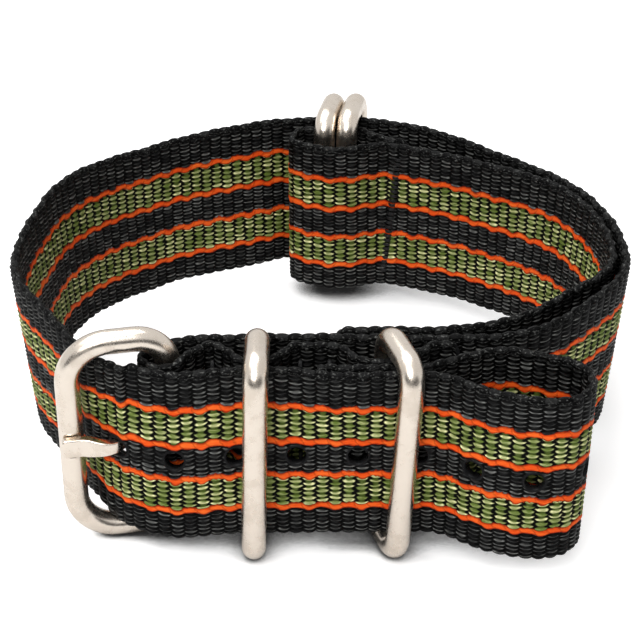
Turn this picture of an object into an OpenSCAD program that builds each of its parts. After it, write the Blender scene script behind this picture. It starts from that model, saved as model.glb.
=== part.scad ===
// Woven watch strap with five metal rings, fastened into a loop and standing on its edge.
// X runs right, Y runs away from the buckle side and Z up from the surface. Sizes are in millimetres.
// The woven bands follow routes in plan: corner points joined by straight runs and round arcs.

/* [Webbing] */
// Width of the woven bands
band_w = 22; // [18:0.5:24]
// Thickness of the woven bands
band_t = 1.3; // [1:0.05:1.5]
// Space between two layers of webbing that lie on each other
layer_gap = 0.2; // [0.1:0.05:0.3]
// Space between webbing and the metal it touches
fit = 0.3; // [0.2:0.05:0.5]
// Slope of the webbing where it dips between two bars
dip_slope = 50; // [45:1:55]
// Diameter of the punched holes
hole_d = 2.3; // [2.2:0.1:3]
// Distance between two punched holes
hole_pitch = 7.05; // [5:0.05:8]
// Number of punched holes, with the one in use
hole_count = 9; // [1:1:9]
// How much the tongue has drawn its own hole out
hole_stretch = 0.9; // [0.7:0.1:1.5]

/* [Loop] */
// Distance from the middle of the loop to the band at its right and left
loop_half_w = 37.8; // [36:0.2:42]
// Distance from the middle of the loop to the band at its back
loop_back = 36.5; // [34:0.5:42]
// Distance from the middle of the loop to the inner face of the front layers
loop_front = 20.7; // [18:0.5:24]
// Distance from the middle of the loop to the buckle's hinge bar, to the left
hinge_left = 17.5; // [16.5:0.1:18.5]
// Length of the tail end that is tucked back under the right keeper
tuck_run = 13; // [11:0.5:16]
// How far the folded tail bulges out in front of the keepers
tail_bulge = 5.4; // [4.5:0.1:6.5]
// How far the folded tail reaches past the middle of the right keeper
tail_reach = 23.2; // [22:0.2:26]

/* [Rings] */
// Diameter of the ring and buckle wire
wire_d = 2.9; // [2.4:0.1:3]
// Room above and below the band inside a ring
ring_play = 0.5; // [0.45:0.05:1]
// Inner radius of a ring's corners
ring_corner = 0.9; // [0.8:0.05:1.1]
// Turn of the right keeper about the upright
keeper_turn = 18; // [12:1:19]
// Lean of the right keeper to the right
keeper_lean = 5; // [0:1:6]
// Travel of a keeper to each side
keeper_travel = 0.5; // [0.2:0.1:0.6]
// Length of the sewn stretch between the two keepers
keeper_bridge = 5; // [3:0.1:6]
// Turn of the two loop rings about the upright
loop_ring_turn = 11.5; // [8:0.5:14]
// Space between the two loop rings
loop_ring_gap = 0.15; // [0.1:0.05:0.4]
// Travel of a loop ring along the band
loop_ring_travel = 0.5; // [0.2:0.1:0.6]

/* [Buckle] */
// Distance between the two upright bars of the buckle, centre to centre
buckle_span = 11.7; // [11.4:0.1:12.4]
// Turn of the buckle about the upright
buckle_turn = 10.8; // [8:0.2:13]
// How much further out the hinge bar lies than the keepers' bars
hinge_out = 0.65; // [0.4:0.05:0.9]
// Corner radius of the buckle at its outer bar, at the middle of the wire
buckle_corner = 5; // [4:0.1:6]
// Swing of the buckle out from the band
buckle_swing = 3; // [1:0.5:4]
// Swing of the tongue off the outer bar
tongue_swing = 6; // [2:0.5:7]
// Thickness of the tongue
tongue_t = 1.05; // [0.8:0.05:1.1]
// Width of the tongue where it passes the hole
tongue_neck_w = 1.5; // [1.2:0.1:1.6]
// Width of the tongue at its tip
tongue_tip_w = 2.4; // [2:0.1:3]
// Width of the tongue's eye
tongue_eye_w = 3.2; // [2.6:0.1:4]
// Running clearance of the tongue's eye on the hinge bar, all round
eye_gap = 0.08; // [0.05:0.01:0.1]
// Depth of the flat on the outer bar that seats the tongue
notch_depth = 0.45; // [0.3:0.05:0.6]

/* [Sewing] */
// Diameter of the sewing thread
thread_d = 0.5; // [0.3:0.05:0.6]
// Length of one stitch
stitch_pitch = 2.6; // [2:0.1:4]
// Length of webbing beyond the last stitches
seam_margin = 1.6; // [1.2:0.1:2.5]

/* [Hidden] */

metal = [0.8, 0.77, 0.73];
nylon = [0.2, 0.23, 0.14];
thread = [0.05, 0.05, 0.05];

wire_r = wire_d / 2;
ring_h = band_w + 2 * (ring_play + wire_d);
band_z = wire_d + ring_play;
mid_z = ring_h / 2;
wrap_r = wire_r + fit + band_t / 2;
layer = band_t + layer_gap;
corner_r = ring_corner + wire_r;

// Levels of the front layers, at the middle of each layer or bar
inner_y = -(loop_front + band_t / 2);
flap_y = inner_y + layer;
dip_y = inner_y - layer;
bar_y = -(loop_front + band_t + fit + wire_r);
sewn_y = bar_y - wrap_r;
tuck_y = sewn_y - layer;
tail_y = tuck_y - layer;
ring_span = (bar_y - tail_y + wrap_r) / cos(keeper_turn);
left_tail_y = bar_y - ring_span + wrap_r;

// Straight stretch of the sewn layer beside the buckle's seam, and of the tail beyond the right keeper
seam_flat = 1.2;
tail_flat = 1.8;

// Places along the front, from the hinge bar to the right
hinge = [-hinge_left, bar_y - hinge_out];
corner_run = wrap_r * tan(dip_slope / 2);
dip_run = corner_run + (dip_y - sewn_y) / tan(dip_slope);
hinge_dip_run = corner_run + (dip_y - sewn_y + hinge_out) / tan(dip_slope);
lean_run = (mid_z - wire_r) * sin(keeper_lean);
dip_1 = hinge.x + hinge_dip_run;
left_bar_x = dip_1 + seam_flat + dip_run + keeper_travel;
dip_2 = left_bar_x + keeper_travel + dip_run;
right_bar_x = dip_2 + keeper_bridge + dip_run + keeper_travel + lean_run;
right_half = keeper_travel + lean_run;
dip_3 = right_bar_x + right_half + dip_run;
sewn_end_x = dip_3 + 2 * seam_margin;
right_keeper_x = right_bar_x + ring_span * sin(keeper_turn);
tail_turn_x = right_keeper_x + right_half + tail_flat;
tuck_turn_x = right_bar_x + right_half + corner_run + tail_flat;

// The buckle's own plan: u runs from the hinge bar to the outer bar, v out of the loop
function uv(u, v) = hinge + [-u * cos(buckle_turn) + v * sin(buckle_turn),
    -u * sin(buckle_turn) - v * cos(buckle_turn)];

// Side view of the tongue: low beside its eye, up through the hole, then down to its seat on the bar
tongue_low = 0.5;
tongue_high = 2.45;
climb_start = 4.9;
climb_end = 6.9;
crest_end = 8.2;
seat_gap = 0.05;
notch_room = 0.25;
eye_room = 0.4;
seat_v = wire_r - notch_depth + seat_gap + tongue_t / 2;
tip_u = buckle_span + wire_r - 0.1;
tongue_line = [[0, tongue_low], [climb_start, tongue_low], [climb_end, tongue_high],
    [crest_end, tongue_high], [tip_u - 2 * wire_r + 0.3, seat_v], [tip_u, seat_v]];

// Long band inside the buckle: under the outer bar, through the tongue, over the fold on the hinge bar
bar_pass = 1.7;
fold_pass = 4.5;
under_bar = [buckle_span - bar_pass, -wrap_r];
over_fold = [fold_pass, wrap_r + layer];
hole_uv = crossing(under_bar, over_fold, tongue_line[1], tongue_line[2]);

// Room that the buckle's round corners press into the band's edges: its depth, and where it lies along u
press_reach = bar_pass + 0.4;
press_slope = 2;
press_depth = wire_r + buckle_corner - band_z + fit / 2
    - sqrt(pow(buckle_corner - 0.9 * wire_r, 2) - pow(buckle_corner - press_reach, 2));

// Plans of the free loop and of the short band inside it, as shares of the half width and of the depth
loop_plan = [[1.005, -0.22], [0.997, 0.046], [0.833, 0.441], [0.569, 0.784], [0.243, 1], [-0.119, 1],
    [-0.598, 0.792], [-0.86, 0.49], [-1, -0.011], [-0.989, -0.266]];
flap_plan = [[0.95, -0.22], [0.95, 0.058], [0.785, 0.427], [0.529, 0.669]];
front_end_x = 0.709 * loop_half_w;
flap_end_x = 0.521 * loop_half_w;
function plan_corner(share) = [share.x * loop_half_w, share.y * loop_back, 0];

// The two loop rings at the back
loop_bar_y = loop_back + band_t / 2 + fit + wire_r;
loop_front_bar_y = loop_bar_y - ring_span * cos(loop_ring_turn);
loop_ring_step = (wire_d + loop_ring_gap) / cos(loop_ring_turn);
loop_left_x = 0.6;
loop_right_x = loop_left_x + loop_ring_step;
loop_fold_y = loop_front_bar_y + wrap_r;
pocket_slack = 2.2;
pocket_front_y = loop_front_bar_y - wrap_r - pocket_slack;
pocket_left_x = loop_left_x - 4.5;
loop_seam = [loop_right_x + loop_ring_travel + 4.4, pocket_front_y + 2.3];
loop_seam_turn = 161;
loop_dir = [cos(loop_seam_turn), sin(loop_seam_turn)];
loop_side = -left_of(loop_dir);
loop_end = 3.6;

// Middle of the whole strap in plan, which is the origin of the model
centre = [0.1, 2.6];

function unit(a) = a / norm(a);
function left_of(a) = [-a.y, a.x];
function turned(a, deg) = [a.x * cos(deg) - a.y * sin(deg), a.x * sin(deg) + a.y * cos(deg)];

// Where the line through a and b meets the line through c and d
function crossing(a, b, c, d) =
    let (p = b - a, q = d - c, k = cross(c - a, q) / cross(p, q))
    a + k * p;

// Points of the arc that rounds corner c between a and b: a radius of 0 means as round as fits
function corner_arc(a, c, b, r) =
    let (p = unit(a - c), q = unit(b - c), turn = 180 - acos(max(-1, min(1, p * q))))
    turn < 0.5 ? [c] :
    let (free = min(norm(a - c), norm(b - c)) / 2,
        cut = r > 0 ? r * tan(turn / 2) : free,
        rad = cut / tan(turn / 2),
        mid = c + unit(p + q) * rad / cos(turn / 2),
        side = sign(cross(q, p)),
        n = ceil(turn / (rad > 10 ? 5 : 11)))
    [for (k = [0:n]) mid + turned(c + p * cut - mid, side * turn * k / n)];

// A list of points without those that fall on the point before
function spaced(P) = [for (i = [0:len(P) - 1]) if (i == 0 || norm(P[i] - P[max(i - 1, 0)]) > 0.02) P[i]];

// A route through corners [x, y, radius], rounded at each corner
function route(C) = spaced([
    for (i = [0:len(C) - 1])
        for (p = (i == 0 || i == len(C) - 1) ? [[C[i].x, C[i].y]] :
            corner_arc([C[i - 1].x, C[i - 1].y], [C[i].x, C[i].y], [C[i + 1].x, C[i + 1].y], C[i][2])) p
]);
function corner(p, r) = [p.x, p.y, r];

// Direction of a route at one of its points
function heading(P, i) =
    i == 0 ? unit(P[1] - P[0]) :
    i == len(P) - 1 ? unit(P[i] - P[i - 1]) :
    unit(unit(P[i + 1] - P[i]) + unit(P[i] - P[i - 1]));

// Outline of a layer of webbing along a route
function band_outline(P, t) = concat(
    [for (i = [0:len(P) - 1]) P[i] + left_of(heading(P, i)) * t / 2],
    [for (i = [len(P) - 1:-1:0]) P[i] - left_of(heading(P, i)) * t / 2]);

// Point and direction at a length s along a route
function place_at(P, s, i = 1) =
    let (step = norm(P[i] - P[i - 1]))
    (s <= step || i == len(P) - 1)
        ? [P[i - 1] + unit(P[i] - P[i - 1]) * s, unit(P[i] - P[i - 1])]
        : place_at(P, s - step, i + 1);

// Corners where the sewn layer rises from one dip over a bar and falls to the next dip
function pocket(x, half, y, r) = [[x + half + corner_run, y, r], [x - half - corner_run, y, r]];

// Long band from its sewn end, round the hinge bar and the loop, to the hole in use
inner_ease = 0.6;
sewn_route = concat(
    [[sewn_end_x, dip_y, 0], [dip_3, dip_y, 1]],
    pocket(right_bar_x, right_half, sewn_y, wrap_r),
    [[dip_2 + keeper_bridge, dip_y, 1], [dip_2, dip_y, 1]],
    pocket(left_bar_x, keeper_travel, sewn_y, wrap_r),
    [[dip_1 + seam_flat, dip_y, 1], [dip_1, dip_y, 1]],
    [[hinge.x + corner_run, hinge.y - wrap_r, wrap_r], [hinge.x - wrap_r, hinge.y - wrap_r, wrap_r],
    [hinge.x - wrap_r, hinge.y + wrap_r, wrap_r],
    [hinge.x + inner_ease, hinge.y + wrap_r, 2], [dip_1 - inner_ease, inner_y, 2]],
    [[front_end_x, inner_y, 0]], [for (share = loop_plan) plan_corner(share)],
    [corner(uv(under_bar.x, under_bar.y), 2.5), corner(uv(hole_uv.x, hole_uv.y), 0)]);

// Long band from the hole in use, under both keepers, folded and tucked back
fold_end_x = right_keeper_x + tail_reach;
fold_front_y = tail_y - tail_bulge;
tail_route = [
    corner(uv(hole_uv.x, hole_uv.y), 0), corner(uv(over_fold.x, over_fold.y), 7),
    [hinge.x + 2.5, left_tail_y - 0.4, 0], [left_bar_x - 2.6, left_tail_y, 0],
    [left_bar_x + 9, tail_y, 0], [tail_turn_x, tail_y, 6],
    [fold_end_x - 12, fold_front_y + 0.3, 0], [fold_end_x - 2.4, fold_front_y - 0.2, 4.5],
    [fold_end_x - 2.6, tuck_y + 1, 3.2], [fold_end_x - 12.2, tuck_y + 5, 7],
    [tuck_turn_x, tuck_y, 6], [tuck_turn_x - tuck_run, tuck_y, 0]];

// Short band from its sewn end, inside the long band, to the pocket that holds the loop rings
short_start_x = right_bar_x - right_half - wire_r - 2.6;
short_route = concat(
    [[short_start_x, flap_y, 0], [flap_end_x, flap_y, 0]],
    [for (share = flap_plan) plan_corner(share)],
    [corner(loop_seam, 3),
    [loop_left_x + 1.9, pocket_front_y - 0.4, 0], [pocket_left_x, pocket_front_y + 2.6, 2.5],
    [pocket_left_x, loop_fold_y, 2.6],
    [loop_right_x + loop_ring_travel + corner_run, loop_fold_y, wrap_r],
    corner(loop_seam + loop_side * layer - loop_dir * 0.3, 1),
    corner(loop_seam + loop_side * layer - loop_dir * loop_end, 0)]);

long_points = route(concat(sewn_route, [for (i = [1:len(tail_route) - 1]) tail_route[i]]));
tail_points = route(tail_route);
short_points = route(short_route);

// Moves a piece from the plan's own place to the model's origin
module placed() {
    translate([-centre.x, -centre.y, 0]) children();
}

// A layer of webbing standing on its edge along a route
module webbing(points) {
    translate([0, 0, band_z])
        linear_extrude(height = band_w) polygon(band_outline(points, band_t));
}

// A straight run of wire up from the origin
module wire(length) {
    cylinder(d = wire_d, h = length, $fn = 32);
}

// A quarter bend of wire in the X and Z plane, from +X round to +Z, then turned in that plane
module wire_bend(radius, turn) {
    rotate([90, 0, 0]) rotate(turn)
        rotate_extrude(angle = 90, $fn = 48) translate([radius, 0]) circle(d = wire_d, $fn = 32);
}

// A closed wire loop in the X and Z plane, from x = 0 to x = span, with its lowest wire at z = 0
module wire_loop(span, height, r_start, r_end) {
    low = wire_r;
    high = height - wire_r;
    for (side = [[0, r_start], [span, r_end]])
        translate([side[0], 0, low + side[1]]) wire(high - low - 2 * side[1]);
    for (z = [low, high])
        translate([r_start, 0, z]) rotate([0, 90, 0]) wire(span - r_start - r_end);
    translate([r_start, 0, low + r_start]) wire_bend(r_start, 180);
    translate([r_start, 0, high - r_start]) wire_bend(r_start, 90);
    translate([span - r_end, 0, low + r_end]) wire_bend(r_end, 270);
    translate([span - r_end, 0, high - r_end]) wire_bend(r_end, 0);
}

// One strap ring whose inner bar stands at a place, turned and leaning
module ring(place, turn, lean) {
    middle = [ring_span / 2 * sin(turn), -ring_span / 2 * cos(turn)];
    color(metal) placed() translate([place.x, place.y, mid_z])
        translate(middle) rotate([0, lean, 0]) translate(-middle)
        rotate([0, 0, turn - 90]) translate([0, 0, -mid_z])
        wire_loop(ring_span, ring_h, corner_r, corner_r);
}

// Puts a piece drawn along u, with v to its right, in the buckle's plan and opens it by a swing
module in_buckle(swing = 0) {
    translate([hinge.x, hinge.y, 0]) rotate([0, 0, 180 + buckle_turn + swing]) children();
}

// Room in the band's two edges for the round corners of the buckle
module edge_rooms() {
    deep_u = buckle_span - press_reach;
    end_u = buckle_span + wire_r / 2;
    for (z = [0, 1])
        translate([0, 0, z * ring_h]) mirror([0, 0, z]) rotate([90, 0, 0])
            linear_extrude(height = 8 * wire_d, center = true)
            polygon([[deep_u - press_slope, band_z], [deep_u, band_z + press_depth],
                [end_u, band_z], [end_u, 0], [deep_u - press_slope, 0]]);
}

module buckle_frame() {
    color(metal) placed() in_buckle() difference() {
        wire_loop(buckle_span, ring_h, corner_r, buckle_corner);
        translate([buckle_span - wire_d, wire_r - notch_depth, mid_z - tongue_tip_w / 2 - notch_room])
            cube([2 * wire_d, wire_d, tongue_tip_w + 2 * notch_room]);
    }
}

module tongue() {
    eye_r = wire_r + eye_gap + tongue_t;
    neck_start = eye_r + 1.2;
    flare_end = crest_end + 1.4;
    waist = [[0, tongue_eye_w], [eye_r, tongue_eye_w], [neck_start, tongue_neck_w],
        [climb_end + 0.2, tongue_neck_w], [flare_end, tongue_tip_w],
        [tip_u - 0.5, tongue_tip_w], [tip_u, tongue_tip_w - 0.9]];
    side = route([for (i = [0:len(tongue_line) - 1]) corner(tongue_line[i], i == 4 ? 2 : 1.2)]);
    color(metal) placed() in_buckle() translate([0, 0, mid_z]) difference() {
        union() {
            cylinder(r = eye_r, h = tongue_eye_w, center = true, $fn = 48);
            intersection() {
                linear_extrude(height = 2 * tongue_eye_w, center = true)
                    polygon(band_outline(side, tongue_t));
                rotate([90, 0, 0]) linear_extrude(height = 4 * wire_d, center = true)
                    polygon(concat([for (p = waist) [p.x, p.y / 2]],
                        [for (i = [len(waist) - 1:-1:0]) [waist[i].x, -waist[i].y / 2]]));
            }
        }
        cylinder(r = wire_r + eye_gap, h = 2 * tongue_eye_w, center = true, $fn = 48);
    }
}

// The hole in use, drawn out along the band
module tongue_hole() {
    dir = tail_points[1] - tail_points[0];
    translate([tail_points[0].x, tail_points[0].y, mid_z])
        rotate([0, 0, atan2(dir.y, dir.x)]) {
            for (x = [0, hole_stretch])
                translate([x, 0, 0]) rotate([90, 0, 0])
                    cylinder(d = hole_d, h = 2 * band_t, center = true, $fn = 32);
            translate([0, -band_t, -hole_d / 2]) cube([hole_stretch, 2 * band_t, hole_d]);
        }
}

// The other holes, each cut through its own layer only
module punched_holes() {
    tucked = right_bar_x - tuck_run / 2;
    for (i = [1:1:hole_count - 1]) {
        spot = place_at(tail_points, i * hole_pitch);
        covered = spot[0].x > tucked - hole_d && spot[0].x < tail_turn_x;
        translate([spot[0].x, spot[0].y, mid_z]) rotate([0, 0, atan2(spot[1].y, spot[1].x)])
            rotate([90, 0, 0])
            cylinder(d = hole_d, h = band_t + (covered ? 0.9 * layer_gap : band_t), center = true, $fn = 32);
    }
}

module long_band() {
    color(nylon) placed() difference() {
        webbing(long_points);
        tongue_hole();
        punched_holes();
        translate([hinge.x, hinge.y, mid_z])
            cylinder(r = wrap_r + band_t / 2 + eye_room, h = tongue_eye_w + 2 * eye_room, center = true,
                $fn = 48);
        in_buckle() edge_rooms();
    }
}

module short_band() {
    color(nylon) placed() webbing(short_points);
}

// A row of stitches up the band: p is the row's place in plan, dir the way through the layers
module seam(p, dir, depth) {
    count = floor((band_w - 2 * seam_margin) / stitch_pitch);
    start = band_z + (band_w - count * stitch_pitch) / 2;
    proud = 0.2 * thread_d;
    color(thread) placed() translate([p.x, p.y, start]) rotate([0, 0, atan2(dir.y, dir.x)]) {
        for (i = [0:count])
            translate([-1.5 * proud, 0, i * stitch_pitch]) rotate([0, 90, 0])
                cylinder(d = thread_d, h = depth + 3 * proud, $fn = 8);
        for (x = [-proud, depth + proud])
            translate([x, 0, 0]) cylinder(d = thread_d, h = count * stitch_pitch, $fn = 8);
    }
}

module keeper_ring_left() {
    ring([left_bar_x, bar_y], 0, 0);
}

module keeper_ring_right() {
    ring([right_bar_x, bar_y], keeper_turn, keeper_lean);
}

module loop_ring_left() {
    ring([loop_left_x + ring_span * sin(loop_ring_turn), loop_bar_y], -loop_ring_turn, 0);
}

module loop_ring_right() {
    ring([loop_right_x + ring_span * sin(loop_ring_turn), loop_bar_y], -loop_ring_turn, 0);
}

module buckle_seam() {
    seam([dip_1 + seam_flat / 2, -loop_front], [0, -1], band_t + layer);
}

module keeper_seam_left() {
    seam([dip_2 + seam_margin / 2, -loop_front], [0, -1], band_t + layer);
}

module keeper_seam_right() {
    seam([dip_2 + keeper_bridge - seam_margin / 2, -loop_front], [0, -1], band_t + layer);
}

module band_end_seam() {
    seam([dip_3 + seam_margin, -loop_front + layer], [0, -1], band_t + 2 * layer);
}

module short_band_seam() {
    seam([short_start_x + seam_margin / 2, -loop_front + layer], [0, -1], band_t + layer);
}

module ring_loop_seam() {
    seam(loop_seam - loop_side * band_t / 2 - loop_dir * seam_margin, loop_side, band_t + layer);
}

long_band();
short_band();
buckle_frame();
tongue();
keeper_ring_left();
keeper_ring_right();
loop_ring_left();
loop_ring_right();
buckle_seam();
keeper_seam_left();
keeper_seam_right();
band_end_seam();
short_band_seam();
ring_loop_seam();
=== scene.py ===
"""Looks of a woven pass-through watch strap, dressed over its packed construction.

The strap is two woven bands, a tongue buckle, four wire rings and the sewing that holds
them. The bands follow the construction's own routes, and their ribs and yarns are real
relief. Sizes are in millimetres until a piece is placed, and Blender's metres after that.
"""
import logging
import math
from dataclasses import dataclass, field
from enum import Enum

import bmesh
import bpy
import numpy as np
from mathutils import Matrix, Vector


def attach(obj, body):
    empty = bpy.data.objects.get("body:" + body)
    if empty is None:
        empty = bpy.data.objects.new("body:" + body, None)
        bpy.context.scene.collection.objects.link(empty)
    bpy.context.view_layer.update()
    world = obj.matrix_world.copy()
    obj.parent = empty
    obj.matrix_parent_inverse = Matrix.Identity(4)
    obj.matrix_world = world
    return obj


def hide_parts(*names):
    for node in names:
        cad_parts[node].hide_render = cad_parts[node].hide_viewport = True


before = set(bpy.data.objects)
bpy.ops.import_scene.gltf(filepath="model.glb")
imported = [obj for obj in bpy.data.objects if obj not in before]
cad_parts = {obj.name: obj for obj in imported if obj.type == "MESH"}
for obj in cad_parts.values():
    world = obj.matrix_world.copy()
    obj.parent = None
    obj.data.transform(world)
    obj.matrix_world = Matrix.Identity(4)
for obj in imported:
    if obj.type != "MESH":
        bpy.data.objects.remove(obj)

LOG = logging.getLogger("watch_strap")
MM = 0.001
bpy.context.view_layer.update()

Point = tuple[float, float]
Corner = tuple[float, float, float]
Level = tuple[int, int, int]


class Slot(Enum):
    """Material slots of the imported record."""

    WEBBING = "webbing"
    STEEL = "steel"
    THREAD = "thread"


# Sizes and routes


@dataclass(frozen=True)
class StrapSizes:
    """Sizes of the strap, as its construction has them: millimetres and radians."""

    band_w: float = 22.0
    band_t: float = 1.3
    layer_gap: float = 0.2
    fit: float = 0.3
    dip_slope: float = math.radians(50)
    hole_d: float = 2.3
    hole_pitch: float = 7.05
    hole_count: int = 9
    loop_half_w: float = 37.8
    loop_back: float = 36.5
    loop_front: float = 20.7
    hinge_left: float = 17.5
    fold_slack: float = 0.7
    tuck_run: float = 13.0
    tail_bulge: float = 5.4
    tail_reach: float = 23.2
    wire_d: float = 2.9
    ring_play: float = 0.5
    ring_corner: float = 0.9
    keeper_turn: float = math.radians(18)
    keeper_lean: float = math.radians(5)
    keeper_travel: float = 0.5
    keeper_bridge: float = 5.0
    loop_ring_x: float = 0.6
    loop_ring_turn: float = math.radians(11.5)
    loop_ring_gap: float = 0.15
    loop_ring_travel: float = 0.5
    pocket_depth: float = 2.2
    pocket_reach: float = 4.5
    loop_seam_at: Point = (4.4, 2.3)
    loop_way: float = math.radians(161)
    buckle_span: float = 11.7
    buckle_turn: float = math.radians(10.8)
    hinge_out: float = 0.65
    buckle_corner: float = 5.0
    tongue_t: float = 1.05
    tongue_neck_w: float = 1.5
    tongue_tip_w: float = 2.4
    tongue_eye_w: float = 3.2
    tip_back: float = 0.1
    seat_gap: float = 0.05
    eye_gap: float = 0.08
    notch_depth: float = 0.45
    notch_room: float = 0.25
    thread_d: float = 0.5
    stitch_pitch: float = 2.6
    seam_margin: float = 1.6
    seam_flat: float = 1.2
    sewn_overlap: float = 2.6
    tail_flat: float = 1.8
    centre: Point = (0.1, 2.6)


def unit(a: np.ndarray) -> np.ndarray:
    """Returns a vector of length 1 along a."""
    return a / np.linalg.norm(a)


def turned(a: np.ndarray, angle: float) -> np.ndarray:
    """Returns a turned by an angle in radians, counterclockwise."""
    c, s = math.cos(angle), math.sin(angle)
    return np.array([a[0] * c - a[1] * s, a[0] * s + a[1] * c])


def even(value: np.ndarray, low: float, high: float) -> np.ndarray:
    """Returns shares that rise evenly from 0 at low to 1 at high, and stay there."""
    return np.clip((value - low) / (high - low), 0, 1)


def eased(value: np.ndarray, low: float, high: float) -> np.ndarray:
    """Returns shares that rise smoothly from 0 at low to 1 at high."""
    t = even(value, low, high)
    return t * t * (3 - 2 * t)


def along_line(points: np.ndarray) -> np.ndarray:
    """Returns the length from a line's start to each of its points."""
    return np.concatenate([[0], np.cumsum(np.linalg.norm(np.diff(points, axis=0), axis=1))])


def crossing(a: np.ndarray, b: np.ndarray, c: np.ndarray, d: np.ndarray) -> np.ndarray:
    """Finds where two lines meet.

    Args:
        a: A point of the first line.
        b: Another point of the first line.
        c: A point of the second line.
        d: Another point of the second line.

    Returns:
        The point that both lines share.
    """
    p, q = b - a, d - c
    k = ((c - a)[0] * q[1] - (c - a)[1] * q[0]) / (p[0] * q[1] - p[1] * q[0])
    return a + k * p


def corner_arc(a: np.ndarray, c: np.ndarray, b: np.ndarray, radius: float) -> list[np.ndarray]:
    """Rounds one corner of a route.

    Args:
        a: The corner before.
        c: The corner that is rounded.
        b: The corner after.
        radius: Radius of the arc, or 0 for one as round as its neighbours leave room for.

    Returns:
        The points of the arc, in order.
    """
    least_turn, step = 0.008, math.radians(2.5)
    p, q = unit(a - c), unit(b - c)
    turn = math.pi - math.acos(max(-1.0, min(1.0, float(p @ q))))
    if turn < least_turn:
        return [c]
    free = min(np.linalg.norm(a - c), np.linalg.norm(b - c)) / 2
    cut = radius * math.tan(turn / 2) if radius > 0 else free
    rad = cut / math.tan(turn / 2)
    middle = c + unit(p + q) * rad / math.cos(turn / 2)
    side = math.copysign(1, q[0] * p[1] - q[1] * p[0])
    steps = max(2, math.ceil(turn / step))
    return [middle + turned(c + p * cut - middle, side * turn * k / steps)
            for k in range(steps + 1)]


class Route:
    """A smooth line in plan, with places measured along it in millimetres."""

    STEP = 0.1

    def __init__(self, corners: list[Corner], ease: float = 0.45) -> None:
        """Rounds the corners and evens out the points.

        Args:
            corners: Corners as x, y and bend radius.
            ease: How far each bend is blended into the straight beside it.
        """
        xy = [np.array(c[:2], float) for c in corners]
        line = [xy[0]]
        for i in range(1, len(xy) - 1):
            line += corner_arc(xy[i - 1], xy[i], xy[i + 1], corners[i][2])
        line.append(xy[-1])
        points = np.array(line)
        along = along_line(points)
        places = np.arange(0, along[-1], self.STEP)
        points = np.stack([np.interp(places, along, points[:, k]) for k in (0, 1)], axis=1)
        self.points = self._blended(points, ease)
        self.along = along_line(self.points)
        heading = np.gradient(self.points, axis=0)
        self.heading = heading / np.linalg.norm(heading, axis=1)[:, None]

    @classmethod
    def _blended(cls, points: np.ndarray, ease: float) -> np.ndarray:
        """Averages a line's points over a short length and keeps its ends.

        Args:
            points: The points, one step apart.
            ease: Half the length that is averaged over.

        Returns:
            As many points.
        """
        reach = int(3 * ease / cls.STEP)
        weights = np.exp(-0.5 * (np.arange(-reach, reach + 1) * cls.STEP / ease) ** 2)
        weights /= weights.sum()
        before = 2 * points[0] - points[reach:0:-1]
        after = 2 * points[-1] - points[-2:-reach - 2:-1]
        padded = np.concatenate([before, points, after])
        return np.stack([np.convolve(padded[:, k], weights, "valid") for k in (0, 1)], axis=1)

    @property
    def length(self) -> float:
        """Length of the route."""
        return float(self.along[-1])

    def at(self, s: np.ndarray) -> tuple[np.ndarray, np.ndarray]:
        """Finds places along the route.

        Args:
            s: Lengths along the route.

        Returns:
            The points there, and the directions to the left of the route.
        """
        point = np.stack([np.interp(s, self.along, self.points[:, k]) for k in (0, 1)], axis=-1)
        ahead = np.stack([np.interp(s, self.along, self.heading[:, k]) for k in (0, 1)], axis=-1)
        ahead /= np.linalg.norm(ahead, axis=-1, keepdims=True)
        return point, np.stack([-ahead[..., 1], ahead[..., 0]], axis=-1)

    def nearest(self, point: np.ndarray, low: float = 0.0, high: float = math.inf) -> float:
        """Finds the length along the route of its point nearest to a given one.

        Args:
            point: A point in plan.
            low: Least length that counts.
            high: Greatest length that counts.

        Returns:
            The length along the route.
        """
        inside = (self.along >= low) & (self.along <= high)
        away = np.linalg.norm(self.points - point, axis=1)
        return float(self.along[np.argmin(np.where(inside, away, np.inf))])


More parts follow.
